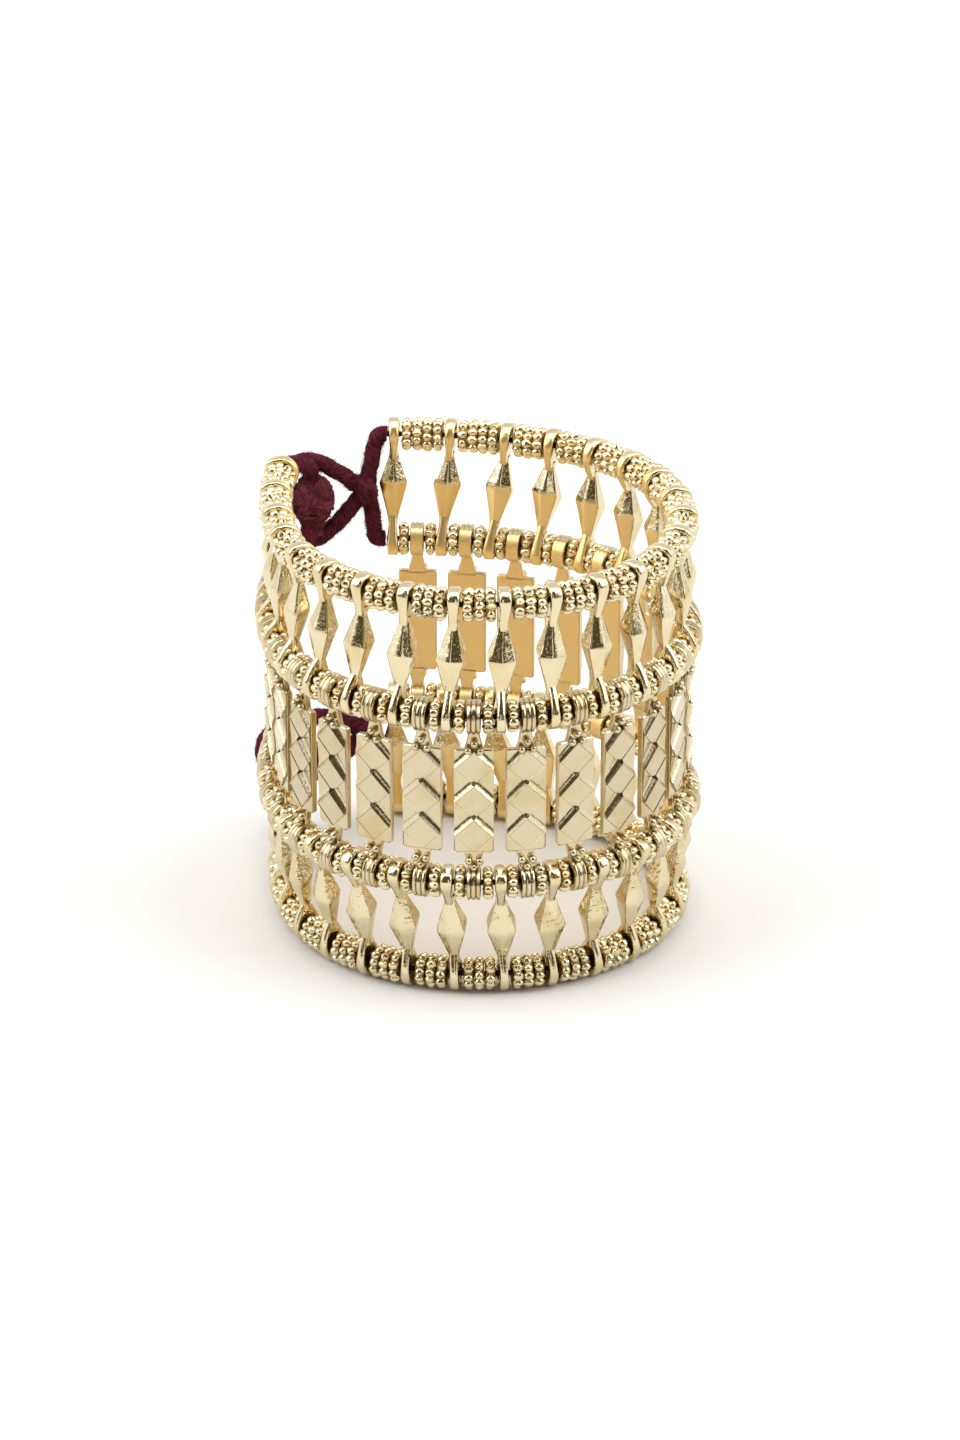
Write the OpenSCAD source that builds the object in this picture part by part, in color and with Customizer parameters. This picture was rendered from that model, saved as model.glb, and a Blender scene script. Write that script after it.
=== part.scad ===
// Articulated cuff bracelet: cast links hang on four threads, one above the other, with spacer
// beads between them. Cord loops and wound buttons close it at the back left.
// Millimetres, +Z up. It stands on its lower rim, with the wrist opening upright, and the
// origin is on the surface below the middle of its bounding box. The front faces -Y.

/* [Rows] */
// Spindle links in the top row, and again in the bottom row
spindles = 24; // [20:1:24]
// Height of the thread in the lower rim, which is the radius of an eyelet
rim_z = 2.5; // [2.5:0.1:3]
// Height from one thread of a spindle row to the next
spindle_rise = 15.85; // [15:0.05:17]
// Height from one thread of the tile row to the next
tile_rise = 25.55; // [24.5:0.05:27]

/* [Loop] */
// Radius of the top thread
top_r = 28.4; // [28.2:0.1:29]
// Radius of the two threads in the middle
middle_r = 29; // [28.6:0.1:29.4]
// Radius of the bottom thread
bottom_r = 27.6; // [27.6:0.1:28.4]
// How far the top thread sits behind the bottom one, because the rows lean a little
top_back = 1; // [0:0.1:1.2]
// How far the upper middle thread sits in front of the bottom one
upper_front = 1.2; // [0:0.1:1.4]
// How far the lower middle thread sits in front of the bottom one
lower_front = 1.6; // [0:0.1:1.8]
// Direction that the middle of the chain faces, so the closure is opposite
chain_turn = 311; // [300:1:320]
// Angle between spindles with three beads between them
short_step = 13.85; // [13.8:0.01:13.9]
// Angle between spindles with four beads between them, at the two ends of a rim
long_step = 16.75; // [16.7:0.01:16.9]
// Half of the chain that is a round arc, before it straightens towards the closure
round_half = 118; // [100:1:130]
// How many times wider the bend is in the straighter ends
end_flare = 2.2; // [1.6:0.1:2.6]

/* [Beads] */
// Radius of a spacer bead
bead_r = 2.35; // [2.25:0.05:2.4]
// Width of a spacer bead along the thread
bead_w = 1.4; // [1.36:0.01:1.42]
// Radius of the granules on a spacer bead
granule_r = 0.7; // [0.65:0.01:0.71]
// Radius of the stringing thread
thread_r = 0.42; // [0.35:0.01:0.45]
// Radius of the bore in beads and eyelets
bore_r = 0.65; // [0.62:0.01:0.7]

/* [Spindle] */
// Outer radius of an eyelet
eyelet_r = 2.5; // [2.4:0.05:2.5]
// Width of the eyelets on the two rims
rim_eyelet_w = 1.78; // [1.6:0.02:1.8]
// Width of the eyelets on the middle threads
middle_eyelet_w = 1.44; // [1.3:0.02:1.5]
// Width of a spindle across its flat sides
spindle_w = 3.9; // [3.4:0.1:4.2]
// Depth of a spindle from its front ridge to its back ridge
spindle_d = 3.7; // [3:0.1:4]
// Depth of the flat sides
side_d = 2.1; // [1.6:0.1:2.6]
// Width of the narrow ridge that runs up the front and the back
ridge_w = 0.56; // [0.4:0.02:1]
// Length from an eyelet's centre to where the spindle starts to widen
neck_l = 3.2; // [3:0.1:3.6]
// Size of the neck against the widest part
neck_scale = 0.32; // [0.3:0.01:0.33]

/* [Tile] */
// Width of the plate
plate_w = 5.6; // [5:0.1:5.8]
// Height of the plate
plate_h = 15.8; // [15:0.1:16]
// Thickness of the plate
plate_t = 1; // [0.9:0.1:1.4]
// Diagonal of a raised diamond
diamond = 4.8; // [4.2:0.1:4.8]
// Distance between diamonds up the plate
diamond_step = 5.2; // [5:0.1:5.2]
// Height of a diamond's top corner above the plate
diamond_lift = 0.75; // [0.5:0.05:0.9]
// Width of the double ring at each end
ring_w = 1.95; // [1.8:0.05:2.1]
// Radius of the neck's granules
berry_r = 0.56; // [0.5:0.02:0.6]

/* [Closure] */
// Radius of the two-ply closing cord
cord_r = 1.1; // [0.8:0.05:1.1]
// Radius of the cord that carries the button
button_cord_r = 0.85; // [0.7:0.05:0.9]
// Radius of the wound button
button_r = 3; // [2.6:0.1:3.1]
// Radius of the knot in the loop
knot_r = 1.9; // [1.6:0.1:2]

/* [Hidden] */
tiles = spindles - 1;

function tile_name(k) = str("tile_", k < 9 ? "0" : "", k + 1);

// The four threads, from top to bottom: [radius, shift towards the back, height]
TOP = [top_r, top_back, rim_z + 2 * spindle_rise + tile_rise];
UPPER = [middle_r, -upper_front, rim_z + spindle_rise + tile_rise];
LOWER = [middle_r, -lower_front, rim_z + spindle_rise];
BOTTOM = [bottom_r, 0, rim_z];

// What moves the middle of the bounding box to the origin
centring = [0.44, -0.53, 0];

// Beads in each group of a rim, from end to end
group_sizes = [for (k = [0:tiles - 1]) (k < 2 || k > tiles - 3) ? 4 : 3];
chain_half = (4 * long_step + (tiles - 4) * short_step) / 2;
middle_step = 2 * chain_half / tiles;

// Distance from the thread to the middle of a granule, and the radius of a bead between granules
granule_x = bead_r - granule_r;
hub_r = granule_x + 0.15;

// Sides of a round part
fine = 48;
gold = [0.86, 0.72, 0.45];
burgundy = [0.32, 0.09, 0.17];

// Places on a thread

function sum(list, n) = n <= 0 ? 0 : list[n - 1] + sum(list, n - 1);

// Chain angle of spindle k on a rim and on a middle thread
rim_steps = [for (size = group_sizes) size == 4 ? long_step : short_step];
function rim_angle(k) = sum(rim_steps, k) - chain_half;
function middle_angle(k) = k * middle_step - chain_half;

// Point of a thread at a chain angle: a round arc, then a wider bend towards each end
function on_thread(line, angle) =
    let (
        side = angle < 0 ? -1 : 1,
        turn = min(abs(angle), round_half),
        bend = (abs(angle) - turn) / end_flare,
        r = line[0],
        x = r * ((1 - end_flare) * cos(turn) + end_flare * cos(turn + bend)),
        y = side * r * ((1 - end_flare) * sin(turn) + end_flare * sin(turn + bend))
    )
    centring + [
        x * cos(chain_turn) - y * sin(chain_turn),
        x * sin(chain_turn) + y * cos(chain_turn) + line[1],
        line[2]
    ];

// Direction that faces outwards there
function facing(angle) =
    let (turn = min(abs(angle), round_half), bend = (abs(angle) - turn) / end_flare)
    chain_turn + (angle < 0 ? -1 : 1) * (turn + bend);

function unit(v) = v / norm(v);

// Frame at a point, from where its axis points and which way it faces
function frame_at(point, up, out) =
    let (z = unit(up), y = unit(cross(z, out)), x = cross(y, z))
    [
        [x[0], y[0], z[0], point[0]],
        [x[1], y[1], z[1], point[1]],
        [x[2], y[2], z[2], point[2]],
        [0, 0, 0, 1]
    ];

// Puts a child on a thread: +X outwards, +Y along the thread, +Z up
module at_thread(line, angle) {
    translate(on_thread(line, angle)) rotate(facing(angle)) children();
}

// Puts a child half-way between two points of two threads, with +Z from the lower to the upper
module between(upper, lower, out_angle) {
    multmatrix(frame_at((upper + lower) / 2, upper - lower, [cos(out_angle), sin(out_angle), 0]))
        children();
}

// Turns a revolved profile so that its axis runs along the thread
module along_thread() {
    rotate([90, 0, 0]) children();
}

// Threads and cords

// Tube along a path, with a ring of points at each place. The path never runs along `aside`.
module cord(path, radius, aside) {
    sides = 8;
    last = len(path) - 1;
    rings = [
        for (k = [0:last])
            let (
                ahead = unit(path[min(k + 1, last)] - path[max(k - 1, 0)]),
                across = unit(cross(ahead, aside)),
                out = cross(ahead, across)
            )
            for (j = [0:sides - 1])
                path[k] + radius * (cos(360 * j / sides) * across + sin(360 * j / sides) * out)
    ];
    walls = [
        for (k = [0:last - 1], j = [0:sides - 1])
            let (next = (j + 1) % sides)
            [k * sides + j, (k + 1) * sides + j, (k + 1) * sides + next, k * sides + next]
    ];
    start = [for (j = [0:sides - 1]) j];
    end = [for (j = [sides - 1:-1:0]) last * sides + j];
    polyhedron(rings, concat([start], walls, [end]));
}

// Stringing thread that runs just past the last eyelets
module thread(line, eyelet_w) {
    past_eyelet = eyelet_w / 2 + 0.06;
    end = chain_half + past_eyelet / line[0] * 180 / PI;
    stretches = 60;
    path = [for (k = [0:stretches]) on_thread(line, end * (2 * k / stretches - 1))];
    color(burgundy) cord(path, thread_r, [0, 0, 1]);
}

// Spacer beads

// A row of beads in one piece: a bored hub with one round rib for each bead
module bead_group(count) {
    color(gold) along_thread() rotate_extrude($fn = fine) {
        translate([bore_r, -count * bead_w / 2]) square([hub_r - bore_r, count * bead_w]);
        for (k = [0:count - 1])
            translate([granule_x, (k - (count - 1) / 2) * bead_w]) circle(r = granule_r, $fn = 24);
    }
}

module rim_beads(line) {
    for (k = [0:tiles - 1])
        at_thread(line, (rim_angle(k) + rim_angle(k + 1)) / 2) bead_group(group_sizes[k]);
}

// One bead at each side of the double ring that hangs half-way between two spindles
module middle_beads(line) {
    gap = (middle_step * line[0] * PI / 180 - middle_eyelet_w - ring_w - 2 * bead_w) / 4;
    from_ring = ((ring_w + bead_w) / 2 + gap) / (line[0] * PI / 180);
    for (k = [0:tiles - 1], side = [-1, 1])
        at_thread(line, middle_angle(k + 0.5) + side * from_ring) bead_group(1);
}

// Spindle links

// Ring that the thread passes through, with a soft edge
module eyelet(width, edge = 0.25) {
    along_thread() rotate_extrude($fn = fine) polygon([
        [bore_r, -width / 2],
        [eyelet_r - edge, -width / 2],
        [eyelet_r, -width / 2 + edge],
        [eyelet_r, width / 2 - edge],
        [eyelet_r - edge, width / 2],
        [bore_r, width / 2]
    ]);
}

// Widest section of a spindle: flat sides, with a low ridge at the front and the back
module spindle_section() {
    polygon([
        [spindle_d / 2, -ridge_w / 2],
        [spindle_d / 2, ridge_w / 2],
        [side_d / 2, spindle_w / 2],
        [-side_d / 2, spindle_w / 2],
        [-spindle_d / 2, ridge_w / 2],
        [-spindle_d / 2, -ridge_w / 2],
        [-side_d / 2, -spindle_w / 2],
        [side_d / 2, -spindle_w / 2]
    ]);
}

// Two tapers back to back, with a slim neck at each end that reaches into the eyelets
module spindle_body(length) {
    taper = length / 2 - neck_l;
    overlap = 0.6;
    for (end = [0, 1]) mirror([0, 0, end]) {
        linear_extrude(height = taper, scale = neck_scale) spindle_section();
        translate([0, 0, taper - 0.05])
            linear_extrude(height = neck_l - eyelet_r + overlap)
                scale(neck_scale) spindle_section();
    }
}

module spindle(upper, upper_angle, lower, lower_angle, upper_w, lower_w) {
    a = on_thread(upper, upper_angle);
    b = on_thread(lower, lower_angle);
    color(gold) {
        at_thread(upper, upper_angle) eyelet(upper_w);
        at_thread(lower, lower_angle) eyelet(lower_w);
        between(a, b, (facing(upper_angle) + facing(lower_angle)) / 2) spindle_body(norm(a - b));
    }
}

module spindles_top() {
    for (k = [0:spindles - 1])
        spindle(TOP, rim_angle(k), UPPER, middle_angle(k), rim_eyelet_w, middle_eyelet_w);
}

module spindles_bottom() {
    for (k = [0:spindles - 1])
        spindle(LOWER, middle_angle(k), BOTTOM, rim_angle(k), middle_eyelet_w, rim_eyelet_w);
}

// Tile links

// Ring with a groove round its middle
module double_ring() {
    groove_w = 0.4;
    groove_d = 0.35;
    edge = 0.25;
    along_thread() rotate_extrude($fn = fine) polygon([
        [bore_r, -ring_w / 2],
        [eyelet_r - edge, -ring_w / 2],
        [eyelet_r, -ring_w / 2 + edge],
        [eyelet_r, -groove_w / 2],
        [eyelet_r - groove_d, 0],
        [eyelet_r, groove_w / 2],
        [eyelet_r, ring_w / 2 - edge],
        [eyelet_r - edge, ring_w / 2],
        [bore_r, ring_w / 2]
    ]);
}

// A diamond like a roof shingle: its top corner is raised and its bottom corner lies flush
module shingle() {
    tilt = atan(diamond_lift / diamond);
    translate([plate_t / 2, 0, -diamond / 2])
        rotate([0, tilt, 0])
            translate([-plate_t, 0, diamond / 2])
                rotate([0, 90, 0])
                    linear_extrude(height = plate_t)
                        rotate(45) square(diamond / sqrt(2), center = true);
}

// Flared neck between the plate and a ring, with three granules on its front
module tile_neck(length, granules) {
    reach = length / 2 - eyelet_r + 0.6;
    root = plate_h / 2 - 0.4;
    narrow = 1.5;
    wide = 3;
    rotate([90, 0, 90]) translate([0, 0, -plate_t / 2]) linear_extrude(height = plate_t - 0.1)
        polygon([[-wide / 2, root], [wide / 2, root], [narrow / 2, reach], [-narrow / 2, reach]]);
    for (granule = granules)
        translate([plate_t / 2, granule[0], plate_h / 2 + granule[1]]) sphere(r = berry_r, $fn = 24);
}

module tile(k) {
    angle = middle_angle(k + 0.5);
    a = on_thread(UPPER, angle);
    b = on_thread(LOWER, angle);
    length = norm(a - b);
    // Granules of a neck: [sideways, above the plate's edge]
    top_granules = [[-0.84, 0.1], [0.84, 0.1], [0, 1.2]];
    bottom_granules = [[-0.76, 1.15], [0.76, 1.15], [0, 2.2]];
    color(gold) {
        at_thread(UPPER, angle) double_ring();
        at_thread(LOWER, angle) double_ring();
        between(a, b, facing(angle)) {
            cube([plate_t, plate_w, plate_h], center = true);
            for (row = [-1:1]) translate([0, 0, row * diamond_step]) shingle();
            tile_neck(length, top_granules);
            mirror([0, 0, 1]) tile_neck(length, bottom_granules);
        }
    }
}

// Closures

// Routes over the gap between the two ends of the chain, as [across, down, outwards]: across
// from 0 at the left end to 1 at the right end, down from 0 at the upper thread to 1 at the
// lower one, and outwards in millimetres. Each list holds the upper closure's, then the lower's.
upper_legs = [
    [
        [0.96, 0, 0.7], [0.935, 0, 1.15], [0.905, 0.03, 1.4], [0.89, 0.1, 1.5], [0.87, 0.2, 1.6],
        [0.85, 0.34, 1.7], [0.83, 0.46, 1.9]
    ],
    [
        [0.96, 0, 0.7], [0.935, 0, 1.15], [0.905, 0.03, 1.4], [0.88, 0.09, 1.6], [0.86, 0.16, 1.7],
        [0.84, 0.24, 1.8]
    ]
];
lower_legs = [
    [
        [0.96, 1, 0.7], [0.935, 1, 1.15], [0.905, 0.97, 1.4], [0.89, 0.88, 1.5], [0.88, 0.76, 1.5],
        [0.86, 0.62, 1.7], [0.83, 0.54, 1.9]
    ],
    [
        [0.96, 1, 0.7], [0.935, 1, 1.15], [0.905, 0.97, 1.4], [0.88, 0.88, 1.5], [0.87, 0.75, 1.6],
        [0.85, 0.6, 1.7], [0.84, 0.42, 1.8], [0.83, 0.34, 1.9]
    ]
];
loops = [
    [
        [0.8, 0.46, 2.1], [0.73, 0.4, 2.6], [0.65, 0.31, 3.2], [0.57, 0.23, 4.2], [0.48, 0.17, 5.2],
        [0.38, 0.16, 6], [0.3, 0.22, 6.4], [0.25, 0.34, 6.5], [0.23, 0.5, 6.5], [0.25, 0.68, 6.5],
        [0.3, 0.83, 6.4], [0.39, 0.92, 6], [0.49, 0.93, 5.2], [0.58, 0.87, 4.2], [0.66, 0.76, 3.2],
        [0.73, 0.65, 2.6], [0.8, 0.56, 2.1]
    ],
    [
        [0.8, 0.26, 2.1], [0.71, 0.19, 2.8], [0.61, 0.12, 3.7], [0.5, 0.08, 4.6], [0.39, 0.07, 5.4],
        [0.29, 0.09, 6.1], [0.2, 0.16, 6.7], [0.15, 0.26, 7], [0.14, 0.38, 7], [0.15, 0.5, 7],
        [0.2, 0.59, 6.7], [0.29, 0.65, 6.1], [0.39, 0.66, 5.4], [0.5, 0.62, 4.6], [0.61, 0.54, 3.7],
        [0.71, 0.44, 2.8], [0.8, 0.35, 2.1]
    ]
];
button_cords = [
    [
        [0.04, 0, 0.7], [0.065, 0, 1.15], [0.15, 0.02, 1.9], [0.25, 0.06, 2.6], [0.35, 0.13, 3.2],
        [0.41, 0.22, 3.8], [0.42, 0.3, 3.9], [0.42, 0.7, 3.9], [0.41, 0.78, 3.8],
        [0.35, 0.87, 3.2], [0.25, 0.94, 2.6], [0.15, 0.98, 1.9], [0.065, 1, 1.15], [0.04, 1, 0.7]
    ],
    [
        [0.04, 0, 0.7], [0.065, 0, 1.15], [0.12, 0.01, 1.9], [0.18, 0.05, 2.7], [0.23, 0.1, 3.2],
        [0.25, 0.17, 3.5], [0.25, 0.58, 3.5], [0.23, 0.68, 3.2], [0.18, 0.8, 2.6],
        [0.13, 0.92, 1.9], [0.065, 1, 1.15], [0.04, 1, 0.7]
    ]
];
knots = [[0.82, 0.5, 1.9], [0.82, 0.3, 1.9]];
buttons = [[0.46, 0.5, 4.4], [0.29, 0.37, 4.2]];
// Ends of the straight stretch of each button cord, which the button is on
bores = [[[0.42, 0.3, 3.9], [0.42, 0.7, 3.9]], [[0.25, 0.17, 3.5], [0.25, 0.58, 3.5]]];

// Outwards over the gap
gap_facing = chain_turn + 180;
gap_out = [cos(gap_facing), sin(gap_facing), 0];

// The four ends that a closure joins: [upper thread, lower thread]
CLOSURES = [[TOP, UPPER], [LOWER, BOTTOM]];

function over_gap(c, place) =
    let (
        down = place[1],
        left = [for (line = CLOSURES[c]) on_thread(line, -chain_half)],
        right = [for (line = CLOSURES[c]) on_thread(line, chain_half)],
        from = left[0] * (1 - down) + left[1] * down,
        to = right[0] * (1 - down) + right[1] * down
    )
    from + (to - from) * place[0] + place[2] * gap_out;

// Knotted loop that reaches from the right end over the button
module loop_cord(c) {
    color(burgundy) {
        for (route = [upper_legs[c], lower_legs[c], loops[c]])
            cord([for (place = route) over_gap(c, place)], cord_r, gap_out);
        translate(over_gap(c, knots[c])) sphere(r = knot_r, $fn = 24);
    }
}

module button_cord(c) {
    color(burgundy)
        cord([for (place = button_cords[c]) over_gap(c, place)], button_cord_r, gap_out);
}

// Wound ball, bored for the cord that carries it
module button(c) {
    a = over_gap(c, bores[c][0]);
    b = over_gap(c, bores[c][1]);
    clearance = 0.12;
    color(burgundy) difference() {
        multmatrix(frame_at(over_gap(c, buttons[c]), a - b, gap_out))
            sphere(r = button_r, $fn = 32);
        multmatrix(frame_at(b, a - b, gap_out))
            cylinder(h = norm(a - b), r = button_cord_r + clearance, $fn = 24);
    }
}

spindles_top();
spindles_bottom();
rim_beads(TOP);  // beads_top
middle_beads(UPPER);  // beads_upper
middle_beads(LOWER);  // beads_lower
rim_beads(BOTTOM);  // beads_bottom
thread(TOP, rim_eyelet_w);  // thread_top
thread(UPPER, middle_eyelet_w);  // thread_upper
thread(LOWER, middle_eyelet_w);  // thread_lower
thread(BOTTOM, rim_eyelet_w);  // thread_bottom
loop_cord(0);  // loop_cord_upper
button_cord(0);  // button_cord_upper
button(0);  // button_upper
loop_cord(1);  // loop_cord_lower
button_cord(1);  // button_cord_lower
button(1);  // button_lower
for (k = [0:tiles - 1])
    tile(k);
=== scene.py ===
"""Articulated cuff bracelet: cast gold links strung on four threads, closed by cord and buttons.

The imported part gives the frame. Each class draws one kind of link or cord over it in millimetres,
in the part's own places, and dresses it in its finish. The front faces -Y and +Z is up.
"""

from __future__ import annotations

import logging
import math
from dataclasses import dataclass, field
from enum import Enum
from typing import Any

import bpy
import numpy as np
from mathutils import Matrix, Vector, noise

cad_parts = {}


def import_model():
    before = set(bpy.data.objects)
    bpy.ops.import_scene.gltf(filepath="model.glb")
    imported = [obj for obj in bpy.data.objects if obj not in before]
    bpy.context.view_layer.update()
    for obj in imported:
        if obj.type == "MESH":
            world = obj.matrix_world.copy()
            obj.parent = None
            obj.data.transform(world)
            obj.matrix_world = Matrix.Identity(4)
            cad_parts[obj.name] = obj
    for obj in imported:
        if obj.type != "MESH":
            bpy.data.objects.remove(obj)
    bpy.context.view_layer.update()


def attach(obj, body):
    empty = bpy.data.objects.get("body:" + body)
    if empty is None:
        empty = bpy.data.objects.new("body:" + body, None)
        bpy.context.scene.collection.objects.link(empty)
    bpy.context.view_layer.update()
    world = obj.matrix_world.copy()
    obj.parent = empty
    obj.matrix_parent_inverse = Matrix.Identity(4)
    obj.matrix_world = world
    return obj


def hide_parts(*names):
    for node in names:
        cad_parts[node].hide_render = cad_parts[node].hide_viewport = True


LOG = logging.getLogger("cuff")

MILLIMETRE = 0.001
BODY = "root"
SHARP_ANGLE = math.radians(35)
UP = np.array([0.0, 0.0, 1.0])
# Radius of the bore in beads, loops and double rings, and width of a double ring
BORE_RADIUS = 0.65
RING_WIDTH = 1.95


class FinishSlot(Enum):
    """Material slots of the part's record."""

    CAST_GOLD = "cast_gold"
    THREAD = "thread"
    COTTON_CORD = "cotton_cord"
    WOUND_BUTTON = "wound_button"


class ThreadKind(Enum):
    """Whether a thread runs in a rim or between two rows of links."""

    RIM = "rim"
    MIDDLE = "middle"


# Colours and shader nodes


def linear(hex_colour: str) -> tuple[float, float, float, float]:
    """Turns an sRGB hex colour into the linear colour that a shader takes.

    Args:
        hex_colour: a colour such as "#E8D9B4".

    Returns:
        Red, green, blue and an alpha of one.
    """
    parts = [int(hex_colour[i : i + 2], 16) / 255 for i in (1, 3, 5)]
    red, green, blue = [
        part / 12.92 if part <= 0.04045 else ((part + 0.055) / 1.055) ** 2.4 for part in parts
    ]
    return red, green, blue, 1.0


@dataclass(frozen=True)
class Nodes:
    """Adds nodes to one tree. A socket given to a method is linked, and a constant is set.

    Attributes:
        tree: the node tree of a material or of the world.
    """

    tree: bpy.types.NodeTree

    def add(
        self, kind: str, inputs: dict[int | str, Any] | None = None, **settings: Any
    ) -> bpy.types.NodeOutputs:
        """Adds one node.

        Args:
            kind: Blender's name of the node type, without the ShaderNode before it.
            inputs: what goes into each input, by name or number.
            **settings: properties of the node.

        Returns:
            Its outputs.
        """
        made = self.tree.nodes.new(f"ShaderNode{kind}")
        for name, value in settings.items():
            setattr(made, name, value)
        for key, value in (inputs or {}).items():
            if isinstance(value, bpy.types.NodeSocket):
                self.tree.links.new(value, made.inputs[key])
            else:
                made.inputs[key].default_value = value
        return made.outputs

    def coordinate(self, name: str) -> bpy.types.NodeSocket:
        """Gives the texture coordinate of a name."""
        return self.add("TexCoord")[name]

    def normal(self) -> bpy.types.NodeSocket:
        """Gives the direction that the surface faces."""
        return self.add("NewGeometry")["Normal"]

    def split(self, vector: bpy.types.NodeSocket) -> bpy.types.NodeOutputs:
        """Gives the outputs X, Y and Z of a vector."""
        return self.add("SeparateXYZ", {0: vector})

    def noise(
        self, where: bpy.types.NodeSocket, scale: float, detail: float, roughness: float = 0.5
    ) -> bpy.types.NodeSocket:
        """Adds a cloudy pattern.

        Args:
            where: the place in the pattern.
            scale: how many clouds there are to a unit of length.
            detail: how many finer patterns it holds.
            roughness: how strong they are.

        Returns:
            A value between zero and one.
        """
        inputs = {"Vector": where, "Scale": scale, "Detail": detail, "Roughness": roughness}
        return self.add("TexNoise", inputs)["Fac"]

    def remap(
        self, value: Any, start: float, end: float, low: Any = 0.0, high: Any = 1.0, smooth: bool = False
    ) -> bpy.types.NodeSocket:
        """Maps one range of a value to another, held at both ends.

        Args:
            value: what is mapped.
            start: where the range starts.
            end: where it ends.
            low: the result at the start and before it.
            high: the result at the end and after it.
            smooth: whether both ends are eased.

        Returns:
            The result.
        """
        inputs = {"Value": value, "From Min": start, "From Max": end, "To Min": low, "To Max": high}
        easing = "SMOOTHSTEP" if smooth else "LINEAR"
        return self.add("MapRange", inputs, interpolation_type=easing)["Result"]

    def mix(self, share: Any, first: Any, second: Any) -> bpy.types.NodeSocket:
        """Mixes two colours, each a socket or an sRGB hex colour."""
        ends = [linear(colour) if isinstance(colour, str) else colour for colour in (first, second)]
        return self.add("Mix", {0: share, 6: ends[0], 7: ends[1]}, data_type="RGBA")[2]

    def calculate(self, operation: str, *values: Any) -> bpy.types.NodeSocket:
        """Gives the result of one operation of the Math node."""
        return self.add("Math", dict(enumerate(values)), operation=operation)[0]

    def bump(
        self, height: Any, depth: Any, normal: bpy.types.NodeSocket | None = None
    ) -> bpy.types.NodeSocket:
        """Raises the surface by a pattern.

        Args:
            height: the pattern.
            depth: how high a value of one stands, in metres.
            normal: the surface's direction, where another pattern has raised it already.

        Returns:
            The direction that the surface then faces.
        """
        inputs = {"Height": height, "Strength": 1.0, "Distance": depth}
        if normal is not None:
            inputs["Normal"] = normal
        return self.add("Bump", inputs)["Normal"]

    def dress(self, looks: dict[str, Any]) -> None:
        """Ends a material with a shader of these looks, named as the shader's sockets are."""
        shader = self.add("BsdfPrincipled", looks)
        self.add("OutputMaterial", {"Surface": shader["BSDF"]})


def new_material(name: str) -> tuple[bpy.types.Material, Nodes]:
    """Makes a material that holds no nodes yet.

    Args:
        name: its name.

    Returns:
        The material, and what adds nodes to it.
    """
    material = bpy.data.materials.new(name)
    material.use_nodes = True
    material.node_tree.nodes.clear()
    return material, Nodes(material.node_tree)


# Shapes in millimetres


@dataclass
class Shape:
    """Points in millimetres, the faces between them and, on yarn, where each corner lies.

    Attributes:
        points: one row for each point.
        faces: the point numbers of each face.
        yarn: for each corner of each face, the turn round the yarn and the length along it.
    """

    points: np.ndarray
    faces: list[tuple[int, ...]]
    yarn: np.ndarray | None = None

    def placed(self, matrix: np.ndarray) -> Shape:
        """Gives the same shape after a 4 x 4 matrix."""
        points = self.points @ matrix[:3, :3].T + matrix[:3, 3]
        return Shape(points, self.faces, self.yarn)


@dataclass
class Piece:
    """Collects the shapes of one piece and turns them into one Blender object.

    Attributes:
        name: the piece's name.
        shapes: what it is made of.
        finishes: which of the piece's finishes each shape has.
    """

    name: str
    shapes: list[Shape] = field(default_factory=list)
    finishes: list[int] = field(default_factory=list)

    def add(self, *shapes: Shape, matrix: np.ndarray | None = None, finish: int = 0) -> None:
        """Adds shapes.

        Args:
            *shapes: what is added.
            matrix: where they go, if they aren't in place already.
            finish: number of their finish.
        """
        for shape in shapes:
            self.shapes.append(shape if matrix is None else shape.placed(matrix))
            self.finishes.append(finish)

    def build(self, materials: list[bpy.types.Material]) -> bpy.types.Object:
        """Joins the shapes into a mesh object.

        Args:
            materials: the piece's finishes.

        Returns:
            The new object, in metres.
        """
        faces: list[tuple[int, ...]] = []
        yarn: list[np.ndarray] = []
        count = 0
        for shape in self.shapes:
            faces.extend(tuple(count + index for index in face) for face in shape.faces)
            corners = sum(len(face) for face in shape.faces)
            yarn.append(np.zeros((corners, 2)) if shape.yarn is None else shape.yarn)
            count += len(shape.points)
        points = np.vstack([shape.points for shape in self.shapes]) * MILLIMETRE
        mesh = bpy.data.meshes.new(self.name)
        mesh.from_pydata(points.tolist(), [], faces)
        if any(shape.yarn is not None for shape in self.shapes):
            layer = mesh.uv_layers.new(name="yarn")
            layer.data.foreach_set("uv", np.vstack(yarn).astype(np.float32).ravel())
        mesh.shade_smooth()
        mesh.set_sharp_from_angle(angle=SHARP_ANGLE)
        for material in materials:
            mesh.materials.append(material)
        counts = [len(shape.faces) for shape in self.shapes]
        mesh.polygons.foreach_set("material_index", np.repeat(self.finishes, counts))
        made = bpy.data.objects.new(self.name, mesh)
        bpy.context.scene.collection.objects.link(made)
        return made

    def hand_in(self, materials: list[bpy.types.Material], slot: FinishSlot, *nodes: str) -> None:
        """Builds the piece in the place of the part's nodes and reports it.

        Args:
            materials: its finishes.
            slot: the record's slot that the finishes belong to; not used.
            *nodes: the nodes of the part that it stands for.
        """
        made = self.build(materials)
        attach(made, BODY)
        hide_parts(*nodes)
        LOG.info("%s: %d faces", self.name, len(made.data.polygons))


def unit(vector: np.ndarray) -> np.ndarray:
    """Gives a vector of length one with the same direction."""
    return vector / np.linalg.norm(vector)


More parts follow.
